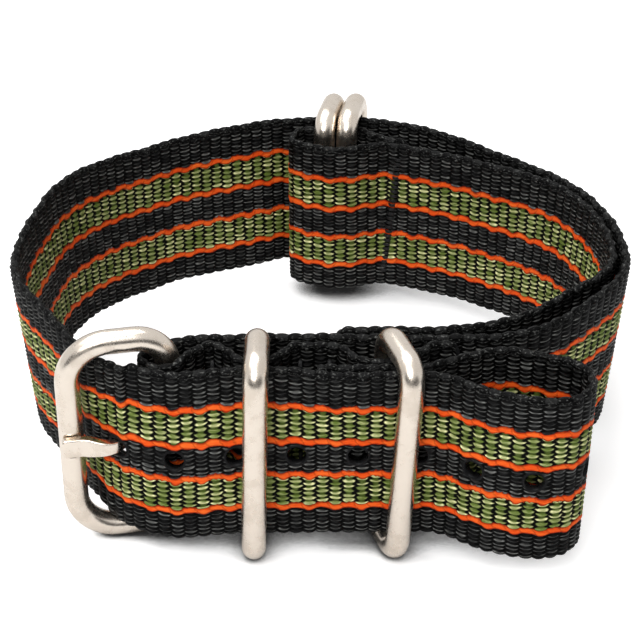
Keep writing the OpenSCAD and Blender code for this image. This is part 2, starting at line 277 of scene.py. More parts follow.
@dataclass
class Plan:
    """Where the strap's pieces lie in plan, from the same sizes as the construction."""

    sizes: StrapSizes = field(default_factory=StrapSizes)

    LOOP = ((1.005, -0.22), (0.997, 0.046), (0.833, 0.441), (0.569, 0.784), (0.243, 1.0),
            (-0.119, 1.0), (-0.598, 0.792), (-0.86, 0.49), (-1.0, -0.011), (-0.989, -0.266))
    FLAP = ((0.961, -0.22), (0.961, 0.058), (0.794, 0.431), (0.529, 0.669))

    def __post_init__(self) -> None:
        """Works out the levels and places that the routes share."""
        z = self.sizes
        self.wire_r = z.wire_d / 2
        self.ring_h = z.band_w + 2 * (z.ring_play + z.wire_d)
        self.mid_z = self.ring_h / 2
        self.wrap_r = self.wire_r + z.fit + z.band_t / 2
        self.layer = z.band_t + z.layer_gap
        self.corner_r = z.ring_corner + self.wire_r
        self.inner_y = -(z.loop_front + z.band_t / 2)
        self.flap_y = self.inner_y + self.layer
        self.dip_y = self.inner_y - self.layer
        self.bar_y = -(z.loop_front + z.band_t + z.fit + self.wire_r)
        self.sewn_y = self.bar_y - self.wrap_r
        self.tuck_y = self.sewn_y - self.layer
        self.tail_y = self.tuck_y - self.layer
        self.ring_span = (self.bar_y - self.tail_y + self.wrap_r) / math.cos(z.keeper_turn)
        self.left_tail_y = self.bar_y - self.ring_span + self.wrap_r
        self.hinge = np.array([-z.hinge_left, self.bar_y - z.hinge_out])
        self.corner_run = self.wrap_r * math.tan(z.dip_slope / 2)
        drop = self.dip_y - self.sewn_y
        dip_run = self.corner_run + drop / math.tan(z.dip_slope)
        hinge_dip_run = self.corner_run + (drop + z.hinge_out) / math.tan(z.dip_slope)
        lean_run = (self.mid_z - self.wire_r) * math.sin(z.keeper_lean)
        self.dip_1 = self.hinge[0] + hinge_dip_run
        self.left_bar_x = self.dip_1 + z.seam_flat + dip_run + z.keeper_travel
        self.dip_2 = self.left_bar_x + z.keeper_travel + dip_run
        self.right_bar_x = self.dip_2 + z.keeper_bridge + dip_run + z.keeper_travel + lean_run
        self.right_half = z.keeper_travel + lean_run
        self.dip_3 = self.right_bar_x + self.right_half + dip_run
        self.right_keeper_x = self.right_bar_x + self.ring_span * math.sin(z.keeper_turn)
        self.sewn_start_x = self.right_bar_x - self.right_half - self.wire_r - z.sewn_overlap
        self._place_loop_rings()
        self._place_tongue()

    def _place_loop_rings(self) -> None:
        """Works out the back rings' places and the pocket that holds them."""
        z = self.sizes
        self.loop_bar_y = z.loop_back + z.band_t / 2 + z.fit + self.wire_r
        front_bar_y = self.loop_bar_y - self.ring_span * math.cos(z.loop_ring_turn)
        apart = (z.wire_d + z.loop_ring_gap) / math.cos(z.loop_ring_turn)
        self.loop_right_x = z.loop_ring_x + apart
        self.loop_fold_y = front_bar_y + self.wrap_r
        self.pocket_left_x = z.loop_ring_x - z.pocket_reach
        self.pocket_front_y = front_bar_y - self.wrap_r - z.pocket_depth
        self.loop_seam = np.array([self.loop_right_x + z.loop_ring_travel + z.loop_seam_at[0],
                                   self.pocket_front_y + z.loop_seam_at[1]])
        self.loop_dir = np.array([math.cos(z.loop_way), math.sin(z.loop_way)])
        self.loop_side = np.array([self.loop_dir[1], -self.loop_dir[0]])

    def _place_tongue(self) -> None:
        """Works out the tongue's side view and the hole that it passes."""
        z = self.sizes
        seat_v = self.wire_r - z.notch_depth + z.seat_gap + z.tongue_t / 2
        self.tip_u = z.buckle_span + self.wire_r - z.tip_back
        self.tongue_line = [(0.0, 0.5), (4.9, 0.5), (6.9, 2.45), (8.2, 2.45),
                            (self.tip_u - 2 * self.wire_r + 0.3, seat_v), (self.tip_u, seat_v)]
        self.under_bar = np.array([z.buckle_span - 1.7, -self.wrap_r])
        self.over_fold = np.array([4.5, self.wrap_r + self.layer])
        self.hole_uv = crossing(self.under_bar, self.over_fold,
                                np.array(self.tongue_line[1]), np.array(self.tongue_line[2]))

    def uv(self, place: np.ndarray) -> np.ndarray:
        """Turns a place in the buckle into a place in plan.

        Args:
            place: Distance from the hinge bar to the outer bar, and distance out of the loop.

        Returns:
            The point in plan.
        """
        u, v = place
        c, s = math.cos(self.sizes.buckle_turn), math.sin(self.sizes.buckle_turn)
        return self.hinge + np.array([-u * c + v * s, -u * s - v * c])

    def _over_bar(self, x: float, half: float) -> list[Corner]:
        """Returns the two corners where the sewn layer passes over a keeper's back bar."""
        reach = half + self.corner_run
        return [(x + reach, self.sewn_y, self.wrap_r), (x - reach, self.sewn_y, self.wrap_r)]

    def _free_loop(self, shares: tuple[Point, ...]) -> list[Corner]:
        """Returns corners of the free loop, given as shares of its half width and depth."""
        z = self.sizes
        return [(a * z.loop_half_w, b * z.loop_back, 0.0) for a, b in shares]

    def sewn_corners(self) -> list[Corner]:
        """Returns corners from the sewn end, round hinge bar and loop, to the tongue."""
        z, hinge, wrap = self.sizes, self.hinge, self.wrap_r
        fold_x, fold_r = hinge[0] - wrap - z.fold_slack, wrap + z.fold_slack / 2
        return [
            (self.dip_3 + 2 * z.seam_margin, self.dip_y, 0), (self.dip_3, self.dip_y, 1),
            *self._over_bar(self.right_bar_x, self.right_half),
            (self.dip_2 + z.keeper_bridge, self.dip_y, 1), (self.dip_2, self.dip_y, 1),
            *self._over_bar(self.left_bar_x, z.keeper_travel),
            (self.dip_1 + z.seam_flat, self.dip_y, 1), (self.dip_1, self.dip_y, 1),
            (hinge[0] + self.corner_run, hinge[1] - wrap, wrap),
            (fold_x, hinge[1] - wrap, fold_r), (fold_x, hinge[1] + wrap, fold_r),
            (hinge[0] + 0.6, hinge[1] + wrap, 2), (self.dip_1 - 0.6, self.inner_y, 2),
            (0.709 * z.loop_half_w, self.inner_y, 0), *self._free_loop(self.LOOP),
            (*self.uv(self.under_bar), 2.5),
        ]

    def tail_corners(self) -> list[Corner]:
        """Returns corners from the hole in use, through both keepers, to the tucked end."""
        z = self.sizes
        end_x = self.right_keeper_x + z.tail_reach
        front_y = self.tail_y - z.tail_bulge
        tuck_x = self.right_bar_x + self.right_half + self.corner_run + z.tail_flat
        return [
            (*self.uv(self.hole_uv), 0), (*self.uv(self.over_fold), 7),
            (self.hinge[0] + 2.5, self.left_tail_y - 0.4, 0),
            (self.left_bar_x - 2.6, self.left_tail_y, 0), (self.left_bar_x + 9, self.tail_y, 0),
            (self.right_keeper_x + self.right_half + z.tail_flat, self.tail_y, 6),
            (end_x - 12, front_y + 0.3, 0), (end_x - 2.4, front_y - 0.2, 4.5),
            (end_x - 2.6, self.tuck_y + 0.2, 3.2), (end_x - 12.2, self.tuck_y + 4, 7),
            (tuck_x, self.tuck_y, 6), (tuck_x - z.tuck_run, self.tuck_y, 0),
        ]

    def short_corners(self) -> list[Corner]:
        """Returns corners of the short band, from its sewn end to the pocket at the back."""
        z, left_x = self.sizes, self.pocket_left_x
        back = self.loop_seam + self.loop_side * self.layer
        return [
            (self.sewn_start_x, self.flap_y, 0), (0.521 * z.loop_half_w, self.flap_y, 0),
            *self._free_loop(self.FLAP), (*self.loop_seam, 3),
            (z.loop_ring_x + 1.9, self.pocket_front_y - 0.4, 0),
            (left_x, self.pocket_front_y + 2.6, 2.5), (left_x, self.loop_fold_y, 2.6),
            (self.loop_right_x + z.loop_ring_travel + self.corner_run, self.loop_fold_y,
             self.wrap_r),
            (*(back - self.loop_dir * 0.3), 1), (*(back - self.loop_dir * 3.6), 0),
        ]

    def placed(self, xy: np.ndarray, z: np.ndarray) -> np.ndarray:
        """Moves places from plan to the model's frame.

        Args:
            xy: Points in plan, in millimetres.
            z: Heights, in millimetres.

        Returns:
            Points of the model, in metres.
        """
        middle = np.array(self.sizes.centre)
        return np.concatenate([xy - middle, np.asarray(z)[..., None]], axis=-1) * MM


# Meshes


def linked(name: str, data: bpy.types.ID) -> bpy.types.Object:
    """Returns a new object of the scene that shows the given data."""
    made = bpy.data.objects.new(name, data)
    bpy.context.scene.collection.objects.link(made)
    return made


def as_mesh(name: str, bm: bmesh.types.BMesh) -> bpy.types.Mesh:
    """Turns a bmesh into a mesh.

    Args:
        name: Name of the mesh.
        bm: The shape, which is freed here.

    Returns:
        The mesh.
    """
    mesh = bpy.data.meshes.new(name)
    bm.to_mesh(mesh)
    bm.free()
    return mesh


def new_piece(name: str, bm: bmesh.types.BMesh, body: str, node: str,
              material: bpy.types.Material) -> bpy.types.Object:
    """Makes a finished piece of the strap from a bmesh and hangs it on its body.

    Args:
        name: Name of the piece.
        bm: Its shape, which is freed here.
        body: Body of the construction that it moves with.
        node: Solid of the construction that it stands for.
        material: Its material.

    Returns:
        The piece.
    """
    for face in bm.faces:
        face.smooth = True
    piece = linked(name, as_mesh(name, bm))
    piece.data.materials.append(material)
    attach(piece, body)
    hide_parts(node)
    LOG.info("%s: %d faces", piece.name, len(piece.data.polygons))
    return piece


@dataclass(frozen=True)
class Zone:
    """A stretch of a band's half width whose yarns are equally wide.

    Attributes:
        start: Where it starts, from the middle line.
        end: Where it ends.
        yarns: Number of yarns in it.
        lines: Number of grid steps that the mesh has across it.
    """

    start: float
    end: float
    yarns: float
    lines: int


@dataclass(frozen=True)
class Weave:
    """Plain weave of a ribbed band: yarns along it, crossing over and under thick picks.

    Thin black yarns, thicker olive ones and four thick orange cords run along the band.

    Attributes:
        rib: Distance between two ribs, along the band.
        rib_round: How round a rib is, from 0 for a step to 1 for a wave.
        swell: How far a yarn rises over a pick and dives under the next.
        groove: Extra depth between two ribs.
        crown: Roundness of a yarn across its width.
        cord_gap: Distance between two orange cords, across the band.
        cord_half: Half width of an orange cord.
        cord_sway: How far a cord sways sideways at each rib.
        cord_groove: Depth of a cord's pinch between two ribs.
        cord_crown: Roundness of a cord across its width.
        cord_twist: How far each pinch slants along a cord, in ribs.
        zones: The yarns of one half of the band, from its middle outwards.
    """

    rib: float = 1.55
    rib_round: float = 0.7
    swell: float = 0.12
    groove: float = 0.20
    crown: float = 0.28
    cord_gap: float = 4.4
    cord_half: float = 0.42
    cord_sway: float = 0.17
    cord_groove: float = 0.15
    cord_crown: float = 0.26
    cord_twist: float = 0.2
    zones: tuple[Zone, ...] = (
        Zone(0.0, 1.76, 6.5, 6), Zone(1.76, 2.64, 2.0, 4), Zone(2.64, 6.16, 10.5, 21),
        Zone(6.16, 7.04, 2.0, 4), Zone(7.04, 11.0, 14.0, 14))

    def half_lines(self) -> list[float]:
        """Returns the mesh's lines across one half of the band, from its middle outwards."""
        spans = [np.linspace(zone.start, zone.end, zone.lines + 1)[1:] for zone in self.zones]
        return [0.0, *np.concatenate(spans)]

    def yarn(self, w: np.ndarray) -> np.ndarray:
        """Returns the number of yarns between the middle line and a place across the band."""
        return sum(zone.yarns * even(np.abs(w), zone.start, zone.end) for zone in self.zones)

    def relief(self, s: np.ndarray, w: np.ndarray, face: np.ndarray) -> np.ndarray:
        """Works out the height of the woven face.

        Args:
            s: Lengths along the band.
            w: Distances from its middle line.
            face: 1 on its left face and -1 on its right.

        Returns:
            Heights above the level of the highest yarns, so none is above 0.
        """
        phase = np.cos(np.pi * (s / self.rib + (1 - face) / 2))
        off = np.abs((self.yarn(w) + 1) % 2 - 1)
        first = self.swell * phase - self.crown * off ** 2
        second = -self.swell * phase - self.crown * (1 - off) ** 2
        cloth = (self.groove * (np.abs(phase) ** self.rib_round - 1)
                 + np.maximum(first, second) - self.swell)
        across = (w % self.cord_gap - self.cord_gap / 2 - self.cord_sway * phase) / self.cord_half
        twist = np.abs(np.cos(np.pi * (s / self.rib + self.cord_twist * across)))
        cord = self.cord_groove * (twist ** self.rib_round - 1) - self.cord_crown * across ** 2
        is_cord = (np.abs(across) < 1) & (np.abs(w) < 2 * self.cord_gap)
        return np.where(is_cord, cord, cloth)


@dataclass(frozen=True)
class Hole:
    """A punched hole in a band.

    Attributes:
        s: Place of its centre along the band.
        stretch: How far it is drawn out along the band.
    """

    s: float
    stretch: float = 0.0


@dataclass(frozen=True)
class Block:
    """The block of grid cells that a hole takes out of its band.

    Attributes:
        hole: The hole.
        low: The block's lower end along the band.
        high: Its upper end.
        half: Its half height across the band.
    """

    hole: Hole
    low: float
    high: float
    half: float


@dataclass(frozen=True)
class Squeeze:
    """A place where both edges of a band are pressed towards its middle.

    Attributes:
        s: Place along the band.
        depth: How far each edge is pressed in.
        reach: Half length of the pressed stretch.
    """

    s: float
    depth: float
    reach: float


@dataclass(frozen=True)
class Drape:
    """How a soft band lies away from its plain route, as the photograph shows it.

    Attributes:
        sag: How far the whole band sinks.
        tail_sag: How far the tail sinks beside the buckle.
        tail_rest: How far the tail's upper edge rests back on the layer behind it.
        lift: How far the loop's two sides rise.
        upper_lean: How far the sides' upper edge leans out.
        lower_lean: How far their lower edge leans in.
        back_lean: How far the lower edge leans in at the back.
        fold_lean: How far the lower edge leans in at the tail's free fold.
    """

    sag: float = 0.1
    tail_sag: float = 0.6
    tail_rest: float = 1.2
    lift: float = 1.15
    upper_lean: float = 1.0
    lower_lean: float = 1.75
    back_lean: float = 0.8
    fold_lean: float = 0.5

    # Each pair is the places in plan, in millimetres, between which a change comes in.
    # REST_Y counts from the layer behind the tail, and -x and -y below run left and front.
    FOLD_X, FOLD_Y = (22.0, 30.0), (22.0, 26.0)
    SAG_Y, LIFT_X, SIDE_X = (26.0, 27.0), (23.0, 35.0), (20.0, 33.0)
    REST_X, REST_END_X, REST_Y = (-28.5, -24.0), (-4.0, 1.5), (-1.0, -0.4)
    RIGHT_X, BACK_Y, UPPER_Y = (-10.0, 10.0), (12.0, 24.0), (-4.0, 12.0)
    LOWER_Y, LOWER_END_Y = (-30.0, -23.0), (-2.0, 14.0)
    BACK_X, BACK_END_X = (4.0, 9.0), (13.0, 22.0)

    # Middle and reach of the tail's sag, then shares of the band's height and of the lean.
    SAG_X, SAG_REACH = -16.5, 3.6
    REST_UP, RIGHT_MORE, BACK_LESS = (0.3, 1.0), 0.1, 0.6

    def fold(self, x: np.ndarray, y: np.ndarray) -> np.ndarray:
        """Returns 1 in the tail's free fold and 0 elsewhere, for places in plan."""
        return eased(x, *self.FOLD_X) * eased(-y, *self.FOLD_Y)

    def rise(self, x: np.ndarray, y: np.ndarray) -> np.ndarray:
        """Works out how far the band lies above its plain route.

        Args:
            x: Places in plan, to the right.
            y: Places in plan, to the back.

        Returns:
            Distances upwards.
        """
        beside = np.exp(-((x - self.SAG_X) / self.SAG_REACH) ** 2) * eased(-y, *self.SAG_Y)
        lift = self.lift * eased(np.abs(x), *self.LIFT_X) * (1 - self.fold(x, y))
        return lift - self.sag - self.tail_sag * beside

    def rest(self, x: np.ndarray, y: np.ndarray, up: np.ndarray, tuck_y: float) -> np.ndarray:
        """Works out how far the tail's upper edge leans back onto the layer behind it.

        Args:
            x: Places in plan, to the right.
            y: Places in plan, to the back.
            up: Heights in the band, from 0 at its lower edge to 1 at its upper edge.
            tuck_y: Level of the layer behind the tail.

        Returns:
            Distances to the back.
        """
        along = eased(x, *self.REST_X) * (1 - eased(x, *self.REST_END_X))
        in_front = 1 - eased(y - tuck_y, *self.REST_Y)
        return self.tail_rest * along * in_front * eased(up, *self.REST_UP)

    def lean(self, x: np.ndarray, y: np.ndarray, up: np.ndarray) -> np.ndarray:
        """Works out how far the loop leans out at its upper edge, and in at its lower.

        Args:
            x: Places in plan, to the right.
            y: Places in plan, to the back.
            up: Heights in the band, from 0 at its lower edge to 1 at its upper edge.

        Returns:
            Distances outwards.
        """
        fold = self.fold(x, y)
        side = eased(np.abs(x), *self.SIDE_X) * (1 - fold)
        right, back = eased(x, *self.RIGHT_X), eased(y, *self.BACK_Y)
        upper = (self.upper_lean * side * eased(y, *self.UPPER_Y)
                 * (1 + self.RIGHT_MORE * right - self.BACK_LESS * (1 - right) * back))
        front = eased(y, *self.LOWER_Y) * (1 - eased(y, *self.LOWER_END_Y))
        behind = back * eased(-x, *self.BACK_X) * (1 - eased(-x, *self.BACK_END_X))
        lower = (self.lower_lean * side * front + self.back_lean * behind
                 + self.fold_lean * fold)
        return upper * up - lower * (1 - up)


@dataclass
class WovenBand:
    """A band of ribbed webbing that stands on its edge along a route.

    Attributes:
        node: Solid of the construction that it stands for.
        route: Its middle line in plan.
        plan: Places and sizes of the strap.
        weave: Its yarns.
        stretches: Start and end of each piece that it is shown as, by name.
        holes: Its punched holes.
        squeezes: Where its edges are pressed in.
        pinches: Where a seam pulls a line into its faces.
        drape: How it lies away from its route.
        columns_per_rib: Number of grid steps in a rib.
        spread: How much wider the cloth is than its solid.
        end_round: Radius of the corners at its cut ends.
        stripe_shift: How far its stripes lie off its middle line.
        selvedge: Width of its rounded edge.
        melt_reach: Width of the molten rim round a hole.
        end_melt: Length of the molten rim at a cut end.
        molten_sink: How far a molten rim lies below the yarns.
        knob: How far the ribs stand out at an edge.
    """

    # A seam's pinch, the knobs of the ribs at the edges, and the edges' slow drift.
    PINCH_DEPTH, PINCH_SLANT, PINCH_REACH = 0.22, 0.05, 0.75
    KNOB_LEVEL, KNOB_ROUND, KNOB_START, KNOB_FULL = 0.72, 0.8, 1.1, 0.2
    DRIFTS = ((0.10, 0.21, 0.6), (0.05, 0.83, 2.1))

    # The grid's last lines before an edge, and how far an edge and a cut end are rounded.
    EDGE_LINES = (0.2, 0.06, 0.0)
    EDGE_CURVE, END_CURVE = 0.985, 0.99

    node: str
    route: Route
    plan: Plan
    weave: Weave
    stretches: dict[str, Point]
    holes: list[Hole] = field(default_factory=list)
    squeezes: list[Squeeze] = field(default_factory=list)
    pinches: list[float] = field(default_factory=list)
    drape: Drape = Drape()
    columns_per_rib: int = 6
    spread: float = 1.03
    end_round: float = 1.6
    stripe_shift: float = -0.35
    selvedge: float = 0.62
    melt_reach: float = 0.35
    end_melt: float = 0.7
    molten_sink: float = 0.06
    knob: float = 0.14

    def _levels(self) -> np.ndarray:
        """Returns the grid's lines across the band, closer together at its edges."""
        half = self.plan.sizes.band_w / 2
        out = np.array([*self.weave.half_lines()[:-1], *(half - k for k in self.EDGE_LINES)])
        return np.concatenate([-out[:0:-1], out])

    def _blocks(self, s: np.ndarray, levels: np.ndarray) -> list[Block]:
        """Finds the block of grid cells that each hole of a stretch takes out.

        Args:
            s: Grid lines along the stretch.
            levels: Grid lines across it.

        Returns:
            The blocks.
        """
        inner_share, end_room = 0.82, 3
        reach = inner_share * self.plan.sizes.hole_d / 2
        half = float(levels[np.argmin(np.abs(levels - reach))])
        blocks = []
        for hole in self.holes:
            if s[0] + end_room < hole.s < s[-1] - end_room:
                out = reach + hole.stretch / 2
                low, high = (float(s[np.argmin(np.abs(s - hole.s - k * out))]) for k in (-1, 1))
                blocks.append(Block(hole, low, high, half))
        return blocks

    def _warp_holes(self, s: np.ndarray, w: np.ndarray, blocks: list[Block]) -> np.ndarray:
        """Draws the grid round each hole onto the hole's outline.

        Args:
            s: Lengths along the band, changed in place.
            w: Distances from the middle line, changed in place.
            blocks: The blocks that the holes take out.

        Returns:
            How molten the webbing is at each point, from 0 to 1.
        """
        inner, outer, squareness = 0.5, 2.0, 1.6
        radius = self.plan.sizes.hole_d / 2
        melt = np.zeros_like(s)
        for block in blocks:
            out, stretch = s - block.hole.s, block.hole.stretch / 2
            x = np.where(out < 0, out / (block.hole.s - block.low),
                         out / (block.high - block.hole.s))
            y = w / block.half
            ring = np.maximum(np.abs(x), np.abs(y))
            near = (ring > inner) & (ring < outer)
            angle = np.arctan2(y[near], x[near])
            rim_s = (block.hole.s + radius * np.cos(angle)
                     + stretch * np.clip(np.cos(angle) * squareness, -1, 1))
            rim_w = radius * np.sin(angle)
            t = np.clip(ring[near] - 1, 0, 1)
            s[near] = rim_s + (s[near] - rim_s) * t
            w[near] = rim_w + (w[near] - rim_w) * t
            core = np.clip(s - block.hole.s, -stretch, stretch)
            away = np.hypot(s - block.hole.s - core, w) - radius
            melt = np.maximum(melt, 1 - even(away, 0, self.melt_reach))
        return melt

    def _flat_stretch(self, s: np.ndarray, levels: np.ndarray) -> bmesh.types.BMesh:
        """Makes one stretch of the band as a flat grid with its holes and its two faces.

        Args:
            s: Grid lines along the band.
            levels: Grid lines across the band.

        Returns:
            The grid, with whole numbers for places along and across.
        """
        columns, rows, slack = len(s) - 1, len(levels) - 1, 1e-6
        bm = bmesh.new()
        bmesh.ops.create_grid(bm, x_segments=columns, y_segments=rows, size=0.5)
        bmesh.ops.translate(bm, verts=bm.verts, vec=(0.5, 0.5, 0))
        bmesh.ops.scale(bm, verts=bm.verts, vec=(columns, rows, 1))
        gone = []
        for block in self._blocks(s, levels):
            i0, i1 = np.searchsorted(s, [block.low - slack, block.high - slack])
            j0, j1 = np.searchsorted(levels, [-block.half - slack, block.half - slack])
            middles = ((face, face.calc_center_median()) for face in bm.faces)
            gone += [face for face, c in middles if i0 < c.x < i1 and j0 < c.y < j1]
        bmesh.ops.delete(bm, geom=gone, context="FACES")
        bmesh.ops.solidify(bm, geom=bm.faces[:], thickness=1.0)
        for edge in bm.edges:
            a, b = (vert.co.x for vert in edge.verts)
            edge.smooth = not (a == b and (a < 0.01 or a > columns - 0.01))
        return bm

    def _section(self, s: np.ndarray, w: np.ndarray, face: np.ndarray,
                 melt: np.ndarray) -> tuple[np.ndarray, np.ndarray]:
        """Shapes the band's section: its weave, its round edges and its knobs.

        Args:
            s: Lengths along the band.
            w: Distances from its middle line.
            face: 1 on the left face and -1 on the right.
            melt: How molten the webbing is there.

        Returns:
            Distances from the middle of the band's thickness, and from its middle line.
        """
        half, edge = self.plan.sizes.band_w / 2, np.abs(w)
        relief = self.weave.relief(s, w - self.stripe_shift, face)
        for pinch in self.pinches:
            away = (s - pinch - self.PINCH_SLANT * w) / self.PINCH_REACH
            relief = relief - self.PINCH_DEPTH * np.exp(-away ** 2)
        relief = relief * (1 - melt) - self.molten_sink * melt
        past = even(edge, half - self.selvedge, half)
        offset = (self.plan.sizes.band_t / 2 + relief) * np.sqrt(1 - self.EDGE_CURVE * past ** 2)
        ridge = np.abs(np.cos(np.pi * s / self.weave.rib)) ** self.KNOB_ROUND
        knob = (self.knob * (ridge - self.KNOB_LEVEL) * (1 - melt)
                * even(edge, half - self.KNOB_START, half - self.KNOB_FULL))
        drift = sum(size * np.sin(pace * s + start) for size, pace, start in self.DRIFTS)
        w = w * self.spread + np.sign(w) * knob + drift * even(edge, 0, half)
        short = 1 - even(np.minimum(s, self.route.length - s), 0, self.end_round)
        w = w * (1 - (1 - np.sqrt(1 - self.END_CURVE * short ** 2)) * self.end_round / half)
        for squeeze in self.squeezes:
            near = np.exp(-((s - squeeze.s) / squeeze.reach) ** 2)
            w = w * (1 - near * squeeze.depth / half)
        return face * offset, w

    def _bend(self, s: np.ndarray, offset: np.ndarray, w: np.ndarray) -> np.ndarray:
        """Lays points of the band along its route.

        Args:
            s: Lengths along the band.
            offset: Distances to the left of the middle of its thickness.
            w: Distances from its middle line.

        Returns:
            Points of the model, in metres.
        """
        point, left = self.route.at(s)
        x, y = point[..., 0], point[..., 1]
        up = (w / (self.plan.sizes.band_w / 2) + 1) / 2
        place = point + left * (offset - self.drape.lean(x, y, up))[..., None]
        place[..., 1] += self.drape.rest(x, y, up, self.plan.tuck_y)
        return self.plan.placed(place, self.plan.mid_z + self.drape.rise(x, y) + w)

    def _dress(self, mesh: bpy.types.Mesh, s_lines: np.ndarray, levels: np.ndarray) -> None:
        """Bends a flat mesh into place and notes where on the cloth each point lies.

        Args:
            mesh: A flat stretch of the band, in grid steps.
            s_lines: Grid lines along the band.
            levels: Grid lines across the band.
        """
        co = np.zeros(len(mesh.vertices) * 3)
        mesh.vertices.foreach_get("co", co)
        co = co.reshape(-1, 3)
        s = s_lines[np.rint(co[:, 0]).astype(int)]
        w = levels[np.rint(co[:, 1]).astype(int)]
        face = np.where(np.abs(co[:, 2]) < 0.5, 1.0, -1.0)
        melt = self._warp_holes(s, w, self._blocks(s_lines, levels))
        ends = np.minimum(s, self.route.length - s)
        melt = np.maximum(melt, 1 - even(ends, 0, self.end_melt))
        places = self._bend(s, *self._section(s, w, face, melt))
        mesh.vertices.foreach_set("co", places.ravel())
        on_cloth = np.stack([s, w - self.stripe_shift, face], axis=1)
        cloth = mesh.attributes.new("cloth", "FLOAT_VECTOR", "POINT")
        cloth.data.foreach_set("vector", on_cloth.astype(np.float32).ravel())
        molten = mesh.attributes.new("melt", "FLOAT", "POINT")
        molten.data.foreach_set("value", melt.astype(np.float32))
        mesh.update()

    def build(self, material: bpy.types.Material) -> None:
        """Builds the band, one piece for each stretch.

        Args:
            material: Material of the webbing.
        """
        rib, levels = self.weave.rib, self._levels()
        for name, (start, end) in self.stretches.items():
            first, last = round(start / rib), round(end / rib)
            steps = np.arange((last - first) * self.columns_per_rib + 1)
            s_lines = first * rib + rib / self.columns_per_rib * steps
            s_lines = s_lines[s_lines < self.route.length]
            flat = self._flat_stretch(s_lines, levels)
            piece = new_piece(name, flat, "strap", self.node, material)
            self._dress(piece.data, s_lines, levels)


class Wire:
    """Round wire that is swept into a closed loop in the X and Z plane."""

    def __init__(self, diameter: float, at: Vector, sides: int = 32) -> None:
        """Starts a wire with its first section, facing up.

        Args:
            diameter: Diameter of the wire, in millimetres.
            at: Middle of the first section.
            sides: Number of sides of a section.
        """
        self.bm = bmesh.new()
        made = bmesh.ops.create_circle(self.bm, segments=sides, radius=diameter / 2,
                                       matrix=Matrix.Translation(at))
        self.ring = list({e for v in made["verts"] for e in v.link_edges})

    def run(self, way: Vector, cuts: tuple[float, ...] = (1.0,)) -> None:
        """Draws the wire straight on.

        Args:
            way: The whole run.
            cuts: Shares of the run, rising to 1, at which a section is placed.
        """
        done = 0.0
        for cut in cuts:
            made = bmesh.ops.extrude_edge_only(self.bm, edges=self.ring)["geom"]
            bmesh.ops.translate(self.bm, vec=way * (cut - done),
                                verts=[g for g in made if isinstance(g, bmesh.types.BMVert)])
            self.ring = [g for g in made if isinstance(g, bmesh.types.BMEdge)
                         and all(v in made for v in g.verts)]
            done = cut

    def bend(self, centre: Vector, steps: int = 14) -> None:
        """Draws the wire round a quarter turn, clockwise as seen along +Y.

        Args:
            centre: Centre of the turn.
            steps: Number of sections.
        """
        made = bmesh.ops.spin(self.bm, geom=self.ring, cent=centre, axis=(0, 1, 0),
                              angle=math.pi / 2, steps=steps, use_duplicate=False)["geom_last"]
        self.ring = [g for g in made if isinstance(g, bmesh.types.BMEdge)]

    def close(self) -> bmesh.types.BMesh:
        """Returns the finished loop, its last section merged with the first."""
        bmesh.ops.remove_doubles(self.bm, verts=self.bm.verts, dist=1e-4)
        bmesh.ops.recalc_face_normals(self.bm, faces=self.bm.faces)
        return self.bm


QUARTERS = (0.25, 0.5, 0.75, 1.0)


def wire_loop(plan: Plan, span: float, start_r: float, end_r: float,
              cuts: tuple[float, ...] = QUARTERS) -> bmesh.types.BMesh:
    """Sweeps a closed wire loop from x = 0 to x = span, its lowest wire at z = 0.

    Args:
        plan: Plan with the wire's size and the loop's height.
        span: Distance between the two upright bars.
        start_r: Corner radius at x = 0, at the middle of the wire.
        end_r: Corner radius at x = span.
        cuts: Sections along the bar at x = span, as shares of it from top to bottom.

    Returns:
        The loop, in millimetres.
    """
    low, high = plan.wire_r, plan.ring_h - plan.wire_r
    wire = Wire(2 * plan.wire_r, Vector((0, 0, low + start_r)))
    wire.run(Vector((0, 0, high - low - 2 * start_r)), QUARTERS)
    wire.bend(Vector((start_r, 0, high - start_r)))
    wire.run(Vector((span - start_r - end_r, 0, 0)))
    wire.bend(Vector((span - end_r, 0, high - end_r)))
    wire.run(Vector((0, 0, low - high + 2 * end_r)), cuts)
    wire.bend(Vector((span - end_r, 0, low + end_r)))
    wire.run(Vector((start_r + end_r - span, 0, 0)))
    wire.bend(Vector((start_r, 0, low + start_r)))
    return wire.close()


@dataclass
class StrapRing:
    """One wire ring whose inner bar stands at a place in plan.

    Attributes:
        name: Solid of the construction that it stands for.
        body: Body that it moves with.
        plan: Places and sizes of the strap.
        place: Its inner bar in plan.
        turn: How far its outer bar lies to the right of the straight front, in radians.
        lean: How far it leans to the right, in radians.
    """

    name: str
    body: str
    plan: Plan
    place: Point
    turn: float
    lean: float = 0.0

    def build(self, material: bpy.types.Material) -> None:
        """Builds the ring where the construction has it.

        Args:
            material: Material of the wire.
        """
        plan = self.plan
        bm = wire_loop(plan, plan.ring_span, plan.corner_r, plan.corner_r)
        middle = Vector((plan.ring_span / 2 * math.sin(self.turn),
                         -plan.ring_span / 2 * math.cos(self.turn), 0))
        x, y = np.array(self.place) - np.array(plan.sizes.centre)
        place = (Matrix.Scale(MM, 4) @ Matrix.Translation((x, y, plan.mid_z))
                 @ Matrix.Translation(middle) @ Matrix.Rotation(self.lean, 4, "Y")
                 @ Matrix.Translation(-middle)
                 @ Matrix.Rotation(self.turn - math.pi / 2, 4, "Z")
                 @ Matrix.Translation((0, 0, -plan.mid_z)))
        bmesh.ops.transform(bm, matrix=place, verts=bm.verts)
        new_piece(self.name.replace("ring", "wire"), bm, self.body, self.name,
                  material)


